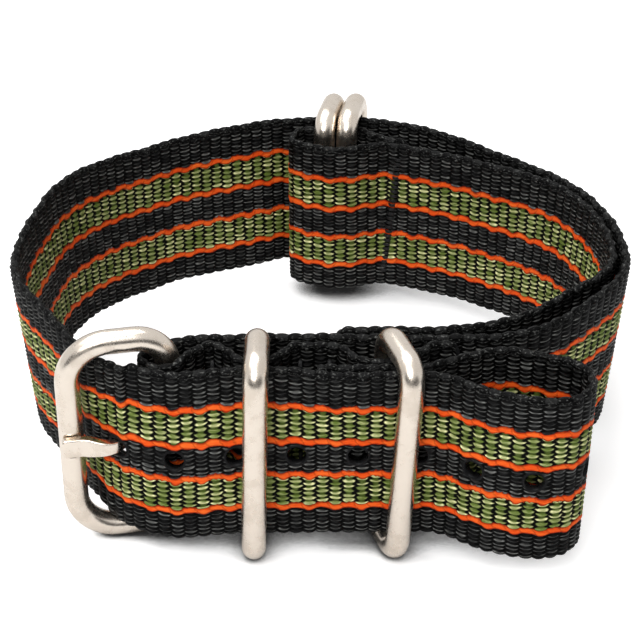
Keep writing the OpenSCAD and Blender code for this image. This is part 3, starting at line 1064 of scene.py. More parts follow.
@dataclass
class Buckle:
    """The wire buckle and the tongue that turns on its hinge bar.

    Attributes:
        plan: Places and sizes of the strap.
        hinge_corner: Radius of the wire's corners beside the hinge bar.
    """

    # Sections of the outer bar round the tongue's flat, and the flat's sloping ends.
    NOTCH_STEPS = (0.35, 0.12, -0.05, -0.25, -0.6)
    NOTCH_START, NOTCH_RUN = 0.12, 0.3
    BAR_ENDS = ((0.12, 0.25), (0.75, 0.88, 1.0))

    # The tongue's eye, its arm with its bends, its widths along the arm and its round rim.
    CURL_DEGREES = (52, 318, 7)
    ARM_START, ARM_BENDS = 0.95, (0.75, 1.6, 1.6, 2.0, 2.0, 0.0)
    NECK_RUN, HEAD_FROM, HEAD_TO, TIP_RUN, TIP_TAPER = 1.6, 7.1, 9.6, 0.45, 0.7
    RIM_TURN, RIM_ROUND = math.radians(50), 0.17

    plan: Plan
    hinge_corner: float = 3.7

    def _matrix(self) -> Matrix:
        """Returns the move from the buckle's own plan to the model, in metres."""
        x, y = self.plan.hinge - np.array(self.plan.sizes.centre)
        turn = math.pi + self.plan.sizes.buckle_turn
        return (Matrix.Scale(MM, 4) @ Matrix.Translation((x, y, 0))
                @ Matrix.Rotation(turn, 4, "Z"))

    def build_frame(self, material: bpy.types.Material) -> None:
        """Builds the wire frame, with the flat that seats the tongue.

        Args:
            material: Material of the wire.
        """
        plan, z = self.plan, self.plan.sizes
        bar = plan.ring_h - 2 * plan.wire_r - 2 * z.buckle_corner
        half = z.tongue_tip_w / 2 + z.notch_room
        steps = [half + k for k in self.NOTCH_STEPS]
        marks = sorted([-k for k in steps] + [0.0] + steps)
        cuts = (*self.BAR_ENDS[0], *(0.5 + k / bar for k in marks), *self.BAR_ENDS[1])
        bm = wire_loop(plan, z.buckle_span, self.hinge_corner, z.buckle_corner, cuts)
        flat = plan.wire_r - z.notch_depth
        for vert in bm.verts:
            away = abs(vert.co.z - plan.mid_z)
            sink = min(1.0, max(0.0, (half + self.NOTCH_START - away) / self.NOTCH_RUN))
            if vert.co.x > z.buckle_span - 2 * plan.wire_r and vert.co.y > flat:
                vert.co.y += (flat - vert.co.y) * sink * (2 - sink)
        bmesh.ops.transform(bm, matrix=self._matrix(), verts=bm.verts)
        new_piece("buckle_wire", bm, "buckle", "buckle_frame", material)

    def _tongue_line(self) -> np.ndarray:
        """Returns the middle line of the tongue: round the hinge bar, then out to its tip."""
        plan, z = self.plan, self.plan.sizes
        eye = plan.wire_r + z.eye_gap + z.tongue_t / 2
        curl = [(eye * math.cos(a), eye * math.sin(a), 0.0)
                for a in np.radians(np.arange(*self.CURL_DEGREES))]
        places = [(eye + self.ARM_START, plan.tongue_line[0][1]), *plan.tongue_line[1:]]
        arm = [(*place, bend) for place, bend in zip(places, self.ARM_BENDS)]
        return Route(curl + arm, ease=0.12).points[::2]

    def build_tongue(self, material: bpy.types.Material) -> None:
        """Builds the tongue: a flat strip rolled round the hinge bar at one end.

        Args:
            material: Material of the strip.
        """
        plan, z = self.plan, self.plan.sizes
        line = self._tongue_line()
        ahead = np.gradient(line, axis=0)
        ahead /= np.linalg.norm(ahead, axis=1)[:, None]
        left = np.stack([-ahead[:, 1], ahead[:, 0]], axis=1)
        eye = plan.wire_r + z.eye_gap + z.tongue_t
        widths = np.interp(line[:, 0], [eye, eye + self.NECK_RUN, self.HEAD_FROM, self.HEAD_TO,
                                        plan.tip_u - self.TIP_RUN, plan.tip_u],
                           [z.tongue_eye_w, z.tongue_neck_w, z.tongue_neck_w, z.tongue_tip_w,
                            z.tongue_tip_w, z.tongue_tip_w - self.TIP_TAPER])
        columns = len(line) - 1
        bm = bmesh.new()
        bmesh.ops.create_grid(bm, x_segments=columns, y_segments=2, size=0.5)
        bmesh.ops.solidify(bm, geom=bm.faces[:], thickness=1.0)
        for vert in bm.verts:
            i = round((vert.co.x + 0.5) * columns)
            side = 0.5 if abs(vert.co.z) < 0.5 else -0.5
            x, y = line[i] + left[i] * side * z.tongue_t
            vert.co = (x, y, plan.mid_z + vert.co.y * widths[i])
        bmesh.ops.recalc_face_normals(bm, faces=bm.faces)
        rim = [edge for edge in bm.edges if edge.calc_face_angle(0.0) > self.RIM_TURN]
        bmesh.ops.bevel(bm, geom=rim, offset=self.RIM_ROUND, segments=3, profile=0.5,
                        affect="EDGES", clamp_overlap=True, material=-1)
        bmesh.ops.transform(bm, matrix=self._matrix(), verts=bm.verts)
        new_piece("buckle_pin", bm, "buckle_tongue", "tongue", material)


@dataclass
class Seam:
    """A row of stitches across the band, on both outer faces of the layers it holds.

    Attributes:
        name: Node of the construction that it stands for.
        plan: Places and sizes of the strap.
        place: Its middle in plan.
        way: Direction in plan from the layers' middle to one face.
        depth: Thickness of the layers.
        pitch: Distance between two stitches.
        reach: Length of a stitch.
        rise: Height of a stitch's arch.
        lie: Turn of a stitch out of the upright, in radians.
        lean: How far the row's upper end lies to the side of its lower end.
        sink: How far a stitch's feet sink into the cloth.
    """

    name: str
    plan: Plan
    place: np.ndarray
    way: np.ndarray
    depth: float
    pitch: float
    reach: float = 2.2
    rise: float = 0.42
    lie: float = 0.0
    lean: float = 0.0
    sink: float = 0.16

    def _stitch(self) -> bpy.types.Mesh:
        """Returns one arched stitch along Z that bulges towards -Y, its feet at y = 0."""
        half = self.reach / 2
        radius = (half ** 2 + self.rise ** 2) / (2 * self.rise)
        sweep = 2 * math.asin(half / radius)
        foot = Matrix.Translation((0, 0, -half)) @ Matrix.Rotation(-sweep / 2, 4, "X")
        bm = bmesh.new()
        bmesh.ops.create_circle(bm, segments=8, radius=self.plan.sizes.thread_d / 2,
                                cap_ends=True, matrix=foot)
        bmesh.ops.spin(bm, geom=bm.faces[:], cent=(0, radius - self.rise, 0), axis=(1, 0, 0),
                       angle=-sweep, steps=7, use_duplicate=False)
        bmesh.ops.recalc_face_normals(bm, faces=bm.faces)
        return as_mesh("stitch_form", bm)

    def build(self, material: bpy.types.Material) -> None:
        """Builds the seam.

        Args:
            material: Material of the thread.
        """
        plan, form, bm = self.plan, self._stitch(), bmesh.new()
        run = plan.sizes.band_w - 2 * plan.sizes.seam_margin
        count = max(1, round(run / self.pitch))
        heading = math.atan2(self.way[1], self.way[0]) + math.pi / 2
        x, y = self.place - np.array(plan.sizes.centre)
        on_face = (Matrix.Translation((0, -self.depth / 2 + self.sink, 0))
                   @ Matrix.Rotation(self.lie, 4, "Y"))
        for flip in (0.0, math.pi):
            for k in range(count):
                share = (k - (count - 1) / 2) / count
                aside = self.lean * share
                at = (x + aside * self.way[1], y - aside * self.way[0],
                      plan.mid_z + share * count * self.pitch)
                place = (Matrix.Scale(MM, 4) @ Matrix.Translation(at)
                         @ Matrix.Rotation(heading + flip, 4, "Z") @ on_face)
                known = len(bm.verts)
                bm.from_mesh(form)
                bm.verts.ensure_lookup_table()
                bmesh.ops.transform(bm, matrix=place, verts=bm.verts[known:])
        bpy.data.meshes.remove(form)
        new_piece(self.name + "_stitches", bm, "strap", self.name, material)


# Finishes


def linear(level: Level) -> tuple[float, ...]:
    """Turns a colour written as 0 to 255 into the linear colour that a shader takes.

    Args:
        level: Red, green and blue as a screen shows them.

    Returns:
        Linear red, green and blue, and an alpha of 1.
    """
    full, toe, toe_slope, lift, gamma = 255, 0.04045, 12.92, 0.055, 2.4
    shares = (part / full for part in level)
    return (*(s / toe_slope if s <= toe else ((s + lift) / (1 + lift)) ** gamma
              for s in shares), 1.0)


class Signal:
    """An output in a node tree that plain arithmetic can be done with."""

    def __init__(self, graph: "Graph", socket: bpy.types.NodeSocket) -> None:
        """Takes hold of a socket of a graph."""
        self.graph, self.socket = graph, socket

    def __add__(self, other: "Signal | float") -> "Signal":
        """Returns the sum."""
        return self.graph.maths("ADD", self, other)

    def __sub__(self, other: "Signal | float") -> "Signal":
        """Returns the difference."""
        return self.graph.maths("SUBTRACT", self, other)

    def __rsub__(self, other: float) -> "Signal":
        """Returns a number less the signal."""
        return self.graph.maths("SUBTRACT", other, self)

    def __mul__(self, other: "Signal | float") -> "Signal":
        """Returns the product."""
        return self.graph.maths("MULTIPLY", self, other)

    def __truediv__(self, other: "Signal | float") -> "Signal":
        """Returns the quotient."""
        return self.graph.maths("DIVIDE", self, other)

    def __pow__(self, power: float) -> "Signal":
        """Returns a power."""
        return self.graph.maths("POWER", self, power)

    def __abs__(self) -> "Signal":
        """Returns the size without its sign."""
        return self.graph.maths("ABSOLUTE", self)


Value = Signal | float


class Graph:
    """A node tree with short ways to add what the finishes need."""

    def __init__(self, tree: bpy.types.NodeTree) -> None:
        """Takes hold of a tree and empties it."""
        self.tree = tree
        tree.nodes.clear()

    def node(self, kind: str, inputs: dict[int | str, object] | None = None,
             **values: object) -> bpy.types.Node:
        """Adds a node.

        Args:
            kind: Type of the node.
            inputs: What is plugged into its inputs, by number or name.
            values: Its own properties.

        Returns:
            The node.
        """
        made = self.tree.nodes.new(kind)
        for name, value in values.items():
            setattr(made, name, value)
        for key, value in (inputs or {}).items():
            self.plug(value, made.inputs[key])
        return made

    def plug(self, value: object, socket: bpy.types.NodeSocket) -> None:
        """Feeds a socket.

        Args:
            value: A signal that is linked to it, or its plain value.
            socket: The socket.
        """
        if isinstance(value, Signal):
            self.tree.links.new(value.socket, socket)
        else:
            socket.default_value = value

    def take(self, kind: str, inputs: dict[int | str, object] | None = None,
             output: int | str = 0, **values: object) -> Signal:
        """Adds a node and takes one of its outputs.

        Args:
            kind: Type of the node.
            inputs: What is plugged into its inputs, by number or name.
            output: Number or name of the output.
            values: The node's own properties.

        Returns:
            The output.
        """
        return Signal(self, self.node(kind, inputs, **values).outputs[output])

    def maths(self, operation: str, *values: Value, clamp: bool = False) -> Signal:
        """Adds a Math node.

        Args:
            operation: What it does.
            values: What it does it to.
            clamp: Whether the result is held between 0 and 1.

        Returns:
            The result.
        """
        return self.take("ShaderNodeMath", dict(enumerate(values)), operation=operation,
                         use_clamp=clamp)

    def ramp(self, value: Value, low: float, high: float, start: float = 0.0,
             end: float = 1.0, smooth: bool = True) -> Signal:
        """Maps low to start and high to end, and holds the value beyond them.

        Args:
            value: The value.
            low: What becomes start.
            high: What becomes end.
            start: The result at low.
            end: The result at high.
            smooth: Whether both ends are eased.

        Returns:
            The result.
        """
        return self.take("ShaderNodeMapRange", dict(enumerate((value, low, high, start, end))),
                         interpolation_type="SMOOTHSTEP" if smooth else "LINEAR")

    def blend(self, share: Value, first: object, second: object) -> Signal:
        """Returns a colour that is the first at a share of 0 and the second at 1."""
        return self.take("ShaderNodeMix", {0: share, 6: first, 7: second}, 2, data_type="RGBA")

    def mixed(self, share: Value, first: Value, second: Value) -> Signal:
        """Returns a value that is the first at a share of 0 and the second at 1."""
        return self.take("ShaderNodeMix", {0: share, 2: first, 3: second}, data_type="FLOAT")

    def scaled(self, colour: object, share: Value) -> Signal:
        """Returns a colour or vector times a value."""
        return self.take("ShaderNodeVectorMath", {0: colour, 3: share}, operation="SCALE")

    def times(self, vector: Signal, pace: Corner) -> Signal:
        """Returns a vector whose three values are each multiplied by their own number."""
        return self.take("ShaderNodeVectorMath", {0: vector, 1: pace}, operation="MULTIPLY")

    def spot(self, *values: Value) -> Signal:
        """Returns three values as one vector."""
        return self.take("ShaderNodeCombineXYZ", dict(enumerate(values)))

    def parts(self, vector: Signal) -> list[Signal]:
        """Returns a vector's three values."""
        return [Signal(self, socket)
                for socket in self.node("ShaderNodeSeparateXYZ", {0: vector}).outputs]

    def noise(self, place: Signal, scale: float, detail: float, rough: float = 0.5) -> Signal:
        """Returns smooth noise, about 0.5 on average, with the given scale and fineness."""
        return self.take("ShaderNodeTexNoise", {"Vector": place, "Scale": scale,
                                                "Detail": detail, "Roughness": rough})

    def bump(self, height: Signal, distance: float, strength: float) -> Signal:
        """Returns a normal that follows a height given in units of distance."""
        return self.take("ShaderNodeBump", {"Height": height, "Distance": distance,
                                            "Strength": strength})


class Effect:
    """A node group that gives colours, masks and heights to several materials."""

    def __init__(self, name: str, inputs: dict[str, str], outputs: dict[str, str]) -> None:
        """Makes an empty group.

        Args:
            name: Name of the group.
            inputs: Socket types by input name.
            outputs: Socket types by output name.
        """
        self.group = bpy.data.node_groups.new(name, "ShaderNodeTree")
        for way, sockets in (("INPUT", inputs), ("OUTPUT", outputs)):
            for label, kind in sockets.items():
                self.group.interface.new_socket(label, in_out=way, socket_type=kind)
        self.graph = Graph(self.group)
        given = self.graph.node("NodeGroupInput").outputs
        self.given = {label: Signal(self.graph, given[label]) for label in inputs}
        self.result = self.graph.node("NodeGroupOutput").inputs

    def used_in(self, graph: Graph, inputs: dict[str, object]) -> dict[str, Signal]:
        """Adds the group to a graph.

        Args:
            graph: The graph.
            inputs: What is plugged into the group.

        Returns:
            The group's outputs by name.
        """
        made = graph.node("ShaderNodeGroup", node_tree=self.group)
        for label, value in inputs.items():
            graph.plug(value, made.inputs[label])
        return {socket.name: Signal(graph, socket) for socket in made.outputs}


FLOAT, COLOUR, VECTOR = "NodeSocketFloat", "NodeSocketColor", "NodeSocketVector"


def shaded_material(name: str) -> tuple[bpy.types.Material, Graph, bpy.types.Node]:
    """Starts a material with one Principled shader.

    Args:
        name: Name of the material.

    Returns:
        The material, its graph and its shader.
    """
    made = bpy.data.materials.new(name)
    made.use_nodes = True
    g = Graph(made.node_tree)
    shader = g.node("ShaderNodeBsdfPrincipled")
    g.node("ShaderNodeOutputMaterial", {0: Signal(g, shader.outputs[0])})
    return made, g, shader


@dataclass(frozen=True)
class Yarns:
    """Signals that tell where a point lies among a band's yarns.

    Attributes:
        rib: Number of ribs before it.
        phase: Wave of the ribs, from -1 to 1.
        half: Distance from the middle line.
        off: Distance from the middle of a yarn, in yarn widths.
        mark: A vector that each visible dash of yarn has to itself.
        across: Distance from the middle of a cord, in half widths.
        twist: Wave of a cord's twist, from 0 to 1.
        is_orange: 1 on a cord.
        height: Height of the relief.
        fibre: Fine noise along the yarns.
        fleck: Mask of the light specks on the edges: the yarns' loops there, drawn with painted
            glints.
    """

    rib: Signal
    phase: Signal
    half: Signal
    off: Signal
    mark: Signal
    across: Signal
    twist: Signal
    is_orange: Signal
    height: Signal
    fibre: Signal
    fleck: Signal


@dataclass(frozen=True)
class WebbingFinish:
    """Striped nylon: olive and orange yarns woven among black ones, with painted highlight and
    shade.

    A pair of values is where a change starts and where it is complete, unless its own line
    says something else.

    Attributes:
        weave: The band's yarns.
        wander: How far the yarns wander, in millimetres.
        gap_shade: Brightness of the painted shade between two yarns, at a rib's foot.
        ridge_shade: The same at its crest.
        groove_shade: Brightness of the painted shade between two ribs.
        edge_shade: Brightness of the painted shade at the band's edges.
        edge_light: Share of the painted highlight that is left at the edges.
        crest: Rise of a rib at which its crest starts and is complete.
        crest_light: Share of the painted highlight at the crest.
        crown: Distance from a dash's middle, in half widths, over which the dash and its painted
            highlight fade.
        gap: Crown at which the painted shade between two yarns ends.
        groove: Rise over which the painted shade between two ribs fades.
        edge: Distance from the middle line over which the painted highlight fades.
        dark_edge: The same for the painted shade at the edges.
        dash: Half width of a dash at a rib's foot, and what it gains up to the crest.
        dash_round: Power that this gain follows.
        dash_chance: Least share of that width, and how much chance adds.
        dash_light: Least strength of a dash's painted highlight, and how much chance adds.
        contrast: Power that the share of painted highlight follows.
        grain: How much the fibres' streaks add to a dash's painted highlight.
        cord_light: How much chance lightens a cord.
        cord_grain: Strength of the fibres in a cord.
        cord_edge: Distance from a cord's middle over which painted shade darkens it.
        cord_pinch: Twist over which the painted shade of a pinch fades.
        cord_shade: Brightness of the painted shade in a pinch.
        fleck: Noise over which a light speck, a yarn loop with a painted glint, comes in.
        fleck_edge: Distance from the middle line over which the specks come in.
        fleck_light: Strength of the specks, which also rise above the painted shade.
        melt: How molten the webbing is where its yarns start and cease to fade.
        fibre_height: Height of the fibres, in millimetres.
        fibre_rough: What the fibres add to the roughness.
        melt_gloss: What the melt takes from the roughness.
        roughness: Roughness of the yarns.
        gloss: Strength of the mirror light on the yarns.
        bump: Strength of the relief that the shader adds.
    """

    # Fineness of each noise along the band, across it and from face to face.
    WANDER_PACE, FIBRE_PACE, FLECK_PACE = (0.7, 1.3, 1.0), (0.9, 7.0, 1.0), (2.6, 6.0, 3.0)
    WANDER_FINE, ROUGH = 1.7, 0.6

    weave: Weave
    black: Level = (17, 17, 18)
    # Painted highlight colour of a black dash's lit crown.
    black_highlight: Level = (126, 127, 124)
    olive: Level = (94, 113, 46)
    # Painted highlight colour of an olive dash's lit crown.
    olive_highlight: Level = (244, 241, 182)
    orange: Level = (228, 78, 22)
    orange_light: Level = (252, 122, 48)
    # Painted shade colour of a cord's round sides.
    orange_shaded: Level = (120, 20, 8)
    molten: Level = (22, 22, 23)
    wander: float = 0.45
    gap_shade: float = 0.06
    ridge_shade: float = 0.55
    groove_shade: float = 0.04
    edge_shade: float = 0.6
    edge_light: float = 0.1
    crest: Point = (0.5, 1.0)
    crest_light: float = 0.6
    crown: Point = (0.15, 1.05)
    gap: float = 0.6
    groove: Point = (0.5, 0.98)
    edge: Point = (10.1, 10.8)
    dark_edge: Point = (9.8, 10.8)
    dash: Point = (0.36, 0.42)
    dash_round: float = 0.6
    dash_chance: Point = (0.82, 0.35)
    dash_light: Point = (0.1, 0.95)
    contrast: float = 1.35
    grain: float = 1.3
    cord_light: float = 0.5
    cord_grain: float = 1.2
    cord_edge: Point = (0.35, 1.05)
    cord_pinch: Point = (0.0, 0.45)
    cord_shade: float = 0.7
    fleck: Point = (0.52, 0.7)
    fleck_edge: Point = (10.1, 10.7)
    fleck_light: float = 0.7
    melt: Point = (0.1, 0.6)
    fibre_height: float = 0.05
    fibre_rough: float = 0.16
    melt_gloss: float = 0.22
    roughness: float = 0.42
    gloss: float = 0.06
    bump: float = 0.55

    def _yarns(self, g: Graph, s: Signal, w: Signal, side: Signal) -> Yarns:
        """Works out where a point lies among the yarns.

        Args:
            g: Graph of the group.
            s: Length along the band.
            w: Distance from its middle line.
            side: 1 on its left face and -1 on its right.

        Returns:
            The signals.
        """
        weave = self.weave
        loose = g.times(g.spot(s, w, side), self.WANDER_PACE)
        w = w + (g.noise(loose, 1.0, 1.0) - 0.5) * self.wander
        s = s + (g.noise(loose, self.WANDER_FINE, 1.0) - 0.5) * self.wander
        rib, half = s / weave.rib, abs(w)
        phase = g.maths("COSINE", (rib + (1.0 - side) * 0.5) * math.pi)
        counts = [g.ramp(half, zone.start, zone.end, 0.0, zone.yarns, smooth=False)
                  for zone in weave.zones]
        yarn = sum(counts[1:], counts[0])
        off = g.maths("PINGPONG", yarn, 1.0)
        swell, other = phase * weave.swell, 1.0 - off
        first = swell - off * off * weave.crown
        second = swell * -1.0 - other * other * weave.crown
        cloth = ((abs(phase) ** weave.rib_round - 1.0) * weave.groove
                 + (g.maths("MAXIMUM", first, second) - weave.swell))
        is_second = g.maths("GREATER_THAN", second, first)
        index = g.maths("ROUND", (yarn - is_second) * 0.5) * 2.0 + is_second
        from_cord = g.maths("FLOORED_MODULO", w, weave.cord_gap)
        across = (from_cord - (phase * weave.cord_sway + weave.cord_gap / 2)) / weave.cord_half
        twist = abs(g.maths("COSINE", (rib + across * weave.cord_twist) * math.pi))
        across = abs(across)
        cord = ((twist ** weave.rib_round - 1.0) * weave.cord_groove
                - across * across * weave.cord_crown)
        is_orange = (g.maths("LESS_THAN", across, 1.0)
                     * g.maths("LESS_THAN", half, 2 * weave.cord_gap))
        place = g.spot(s, w, side)
        fleck = g.noise(g.times(place, self.FLECK_PACE), 1.0, 2.0, self.ROUGH)
        return Yarns(
            rib=rib, phase=phase, half=half, off=off, across=across, twist=twist,
            is_orange=is_orange, height=cloth * (1.0 - is_orange) + cord * is_orange,
            mark=g.spot(index * g.maths("SIGN", w), g.maths("ROUND", rib), g.maths("SIGN", side)),
            fibre=g.noise(g.times(place, self.FIBRE_PACE), 1.0, 3.0, self.ROUGH),
            fleck=(g.ramp(fleck, *self.fleck)
                   * g.ramp(half, *self.fleck_edge, 0.0, self.fleck_light)))

    def _colour(self, g: Graph, yarns: Yarns) -> Signal:
        """Colours the yarns with painted highlight and shade, each dash a little lighter or
        darker than the next.

        Args:
            g: Graph of the group.
            yarns: Where the point lies among the yarns.

        Returns:
            The colour.
        """
        dash = g.node("ShaderNodeTexWhiteNoise", {0: yarns.mark}, noise_dimensions="3D")
        light = Signal(g, dash.outputs["Value"])
        chance = g.parts(Signal(g, dash.outputs["Color"]))[1]
        rise, grain = abs(yarns.phase), yarns.fibre - 0.5
        (foot, gain), (least, varies), (dim, glint) = (
            self.dash, self.dash_chance, self.dash_light)
        wide = (rise ** self.dash_round * gain + foot) * (chance * varies + least)
        from_top = g.mixed(g.maths("LESS_THAN", yarns.phase, 0.0), yarns.off, 1.0 - yarns.off)
        crown = g.ramp(from_top / wide, *self.crown, 1.0, 0.0)
        # Painted highlight on each dash's crown, of a random strength, weaker at a rib's very
        # crest.
        share = crown * g.ramp(rise, *self.crest, 1.0, self.crest_light) * (light * glint + dim)
        share = g.maths("ADD", share, grain * self.grain, clamp=True)
        share = share ** self.contrast * g.ramp(yarns.half, *self.edge, 1.0, self.edge_light)
        # Light specks on the edges: the yarns' loops there, drawn as painted glints.
        share = g.maths("MAXIMUM", share, yarns.fleck)
        gap = self.weave.cord_gap
        is_olive = g.maths("COMPARE", yarns.half, gap, gap / 2)
        colour = g.blend(is_olive, g.blend(share, linear(self.black), linear(self.black_highlight)),
                         g.blend(share, linear(self.olive), linear(self.olive_highlight)))
        # Painted shade between two yarns, between two ribs and towards the band's edges.
        between = g.ramp(rise, *self.crest, self.gap_shade, self.ridge_shade)
        shade = (g.mixed(g.ramp(crown, 0.0, self.gap), between, 1.0)
                 * g.ramp(rise + crown * 0.5, *self.groove, self.groove_shade, 1.0)
                 * g.ramp(yarns.half, *self.dark_edge, 1.0, self.edge_shade))
        colour = g.scaled(colour, g.maths("MAXIMUM", shade, yarns.fleck))
        glow = g.maths("ADD", light * self.cord_light, grain * self.cord_grain, clamp=True)
        cord = g.blend(glow, linear(self.orange), linear(self.orange_light))
        # Painted shade on a cord's round sides and in its pinches.
        cord = g.blend(g.ramp(yarns.across, *self.cord_edge), cord, linear(self.orange_shaded))
        cord = g.scaled(cord, g.ramp(yarns.twist, *self.cord_pinch, self.cord_shade, 1.0))
        return g.blend(yarns.is_orange, colour, cord)

    def effect(self) -> Effect:
        """Builds the group that draws the yarns from the places on the cloth.

        Returns:
            The group.
        """
        effect = Effect("woven_yarns", {"Cloth": VECTOR, "Melt": FLOAT},
                        {"Color": COLOUR, "Height": FLOAT, "Roughness": FLOAT})
        g, result = effect.graph, effect.result
        yarns = self._yarns(g, *g.parts(effect.given["Cloth"]))
        melt = g.ramp(effect.given["Melt"], *self.melt)
        g.plug(g.blend(melt, self._colour(g, yarns), linear(self.molten)), result["Color"])
        g.plug((yarns.height + yarns.fibre * self.fibre_height) * (1.0 - melt), result["Height"])
        g.plug(yarns.fibre * self.fibre_rough + self.roughness - melt * self.melt_gloss,
               result["Roughness"])
        return effect

    def material(self) -> bpy.types.Material:
        """Builds the webbing's material.

        Returns:
            The material.
        """
        made, g, shader = shaded_material("striped_webbing")
        cloth = g.take("ShaderNodeAttribute", output="Vector", attribute_name="cloth")
        melt = g.take("ShaderNodeAttribute", output="Fac", attribute_name="melt")
        yarns = self.effect().used_in(g, {"Cloth": cloth, "Melt": melt})
        g.plug(yarns["Color"], shader.inputs["Base Color"])
        g.plug(yarns["Roughness"], shader.inputs["Roughness"])
        g.plug(g.bump(yarns["Height"], MM, self.bump), shader.inputs["Normal"])
        g.plug(self.gloss, shader.inputs["Specular IOR Level"])
        return made


def grain_effect() -> Effect:
    """Builds the group for fine grain and handling marks, shared by steel and thread.

    Returns:
        The group.
    """
    grain_rough, marks_rough, marks_scale = 0.65, 0.6, 0.08
    effect = Effect("fine_grain", {"Scale": FLOAT}, {"Grain": FLOAT, "Marks": FLOAT})
    g = effect.graph
    grown = g.scaled(g.take("ShaderNodeTexCoord", output="Object"), effect.given["Scale"])
    g.plug(g.noise(grown, 1.0, 4.0, grain_rough), effect.result["Grain"])
    g.plug(g.noise(grown, marks_scale, 3.0, marks_rough), effect.result["Marks"])
    return effect


@dataclass(frozen=True)
class SteelFinish:
    """Satin stainless steel with a fine grain.

    Attributes:
        colour: Clean steel.
        dull: Steel with handling marks.
        roughness: Roughness of clean steel without its grain.
        dull_roughness: What a handling mark adds to it.
        grain: Fineness of the grain.
        grain_rough: What the grain adds to the roughness.
        worn: Noise over which a handling mark comes in.
        bump: Height of the grain, in millimetres, and its strength.
    """

    colour: Level = (230, 219, 206)
    dull: Level = (218, 206, 192)
    roughness: float = 0.17
    dull_roughness: float = 0.07
    grain: float = 5200.0
    grain_rough: float = 0.14
    worn: Point = (0.42, 0.68)
    bump: Point = (0.02, 0.4)

    def material(self, grain: Effect) -> bpy.types.Material:
        """Builds the material of the steel.

        Args:
            grain: The shared group of fine grain.

        Returns:
            The material.
        """
        made, g, shader = shaded_material("satin_steel")
        marks = grain.used_in(g, {"Scale": self.grain})
        worn = g.ramp(marks["Marks"], *self.worn)
        g.plug(g.blend(worn, linear(self.colour), linear(self.dull)), shader.inputs["Base Color"])
        g.plug(marks["Grain"] * self.grain_rough + worn * self.dull_roughness + self.roughness,
               shader.inputs["Roughness"])
        height, strength = self.bump
        g.plug(g.bump(marks["Grain"], height * MM, strength), shader.inputs["Normal"])
        g.plug(1.0, shader.inputs["Metallic"])
        return made


@dataclass(frozen=True)
class ThreadFinish:
    """Black bonded sewing thread.

    Attributes:
        colour: The thread's own colour.
        light: Its lightest fibres.
        roughness: Its roughness.
        gloss: Strength of the mirror light on it.
        grain: Fineness of its fibres.
        fuzz: Grain over which the light fibres come in.
        bump: Height of the fibres, in millimetres, and their strength.
    """

    colour: Level = (14, 14, 15)
    light: Level = (38, 38, 39)
    roughness: float = 0.5
    gloss: float = 0.22
    grain: float = 7000.0
    fuzz: Point = (0.35, 0.7)
    bump: Point = (0.1, 0.5)

    def material(self, grain: Effect) -> bpy.types.Material:
        """Builds the material of the thread.

        Args:
            grain: The shared group of fine grain.

        Returns:
            The material.
        """
        made, g, shader = shaded_material("black_thread")
        marks = grain.used_in(g, {"Scale": self.grain})
        share = g.ramp(marks["Grain"], *self.fuzz)
        g.plug(g.blend(share, linear(self.colour), linear(self.light)),
               shader.inputs["Base Color"])
        height, strength = self.bump
        g.plug(g.bump(marks["Grain"], height * MM, strength), shader.inputs["Normal"])
        g.plug(self.roughness, shader.inputs["Roughness"])
        g.plug(self.gloss, shader.inputs["Specular IOR Level"])
        return made


@dataclass
class Finishes:
    """The strap's three materials.

    Attributes:
        weave: The bands' yarns, which the webbing is drawn from.
    """

    weave: Weave

    def __post_init__(self) -> None:
        """Builds the materials with their shared groups."""
        grain = grain_effect()
        self.webbing = WebbingFinish(self.weave).material()
        self.steel = SteelFinish().material(grain)
        self.thread = ThreadFinish().material(grain)


# Sub-assemblies


@dataclass
class Bands:
    """The long band, from its sewn end round to its tucked tail, and the short band.

    Attributes:
        plan: Places and sizes of the strap.
        finishes: Its materials.
        drawn: How far the tongue moves the hole in use, and how far it draws it out.
        bar_press: Depth and reach of the edges' press at the buckle's outer bar.
        fold_press: The same at the fold round the hinge bar.
        keeper_press: The same over the keepers' back bars.
    """

    plan: Plan
    finishes: Finishes
    drawn: Point = (0.17, 0.3)
    bar_press: Point = (0.91, 2.1)
    fold_press: Point = (0.9, 3.0)
    keeper_press: Point = (0.25, 4.0)

    def _long_band(self) -> None:
        """Builds the long band, shown as three pieces."""
        plan, z = self.plan, self.plan.sizes
        sewn, tail = plan.sewn_corners(), plan.tail_corners()
        route = Route([*sewn, *tail])
        first = route.nearest(np.array(tail[0][:2]), low=route.length * 0.5)
        holes = [Hole(first + self.drawn[0], self.drawn[1])]
        holes += [Hole(first + k * z.hole_pitch) for k in range(1, z.hole_count)]
        bar_s = route.nearest(plan.uv(np.array([z.buckle_span, 0.0])), low=route.length * 0.5)
        fold_s = route.nearest(plan.hinge - np.array([plan.wrap_r, 0]), 0, route.length * 0.3)
        squeezes = [Squeeze(bar_s, *self.bar_press), Squeeze(fold_s, *self.fold_press)]
        for bar_x in (plan.left_bar_x, plan.right_bar_x):
            over_bar = route.nearest(np.array([bar_x, plan.sewn_y]), 0, fold_s)
            squeezes.append(Squeeze(over_bar, *self.keeper_press))
        loop_a, loop_b = route.length / 3, route.length * 2 / 3
        stretches = {"long_band_front": (0.0, loop_a), "long_band_loop": (loop_a, loop_b),
                     "long_band_tail": (loop_b, route.length)}
        WovenBand("long_band", route, plan, self.finishes.weave, stretches, holes,
                  squeezes).build(self.finishes.webbing)

    def _short_band(self) -> None:
        """Builds the short band."""
        plan, route = self.plan, Route(self.plan.short_corners())
        seam = plan.loop_seam - plan.loop_dir * plan.sizes.seam_margin
        turn = route.nearest(np.array([plan.pocket_left_x, plan.loop_fold_y]))
        pinches = [route.nearest(seam, 0, turn),
                   route.nearest(seam + plan.loop_side * plan.layer, turn)]
        WovenBand("short_band", route, plan, self.finishes.weave,
                  {"short_band_cloth": (0.0, route.length)},
                  pinches=pinches).build(self.finishes.webbing)

    def build(self) -> None:
        """Builds both bands."""
        self._long_band()
        self._short_band()


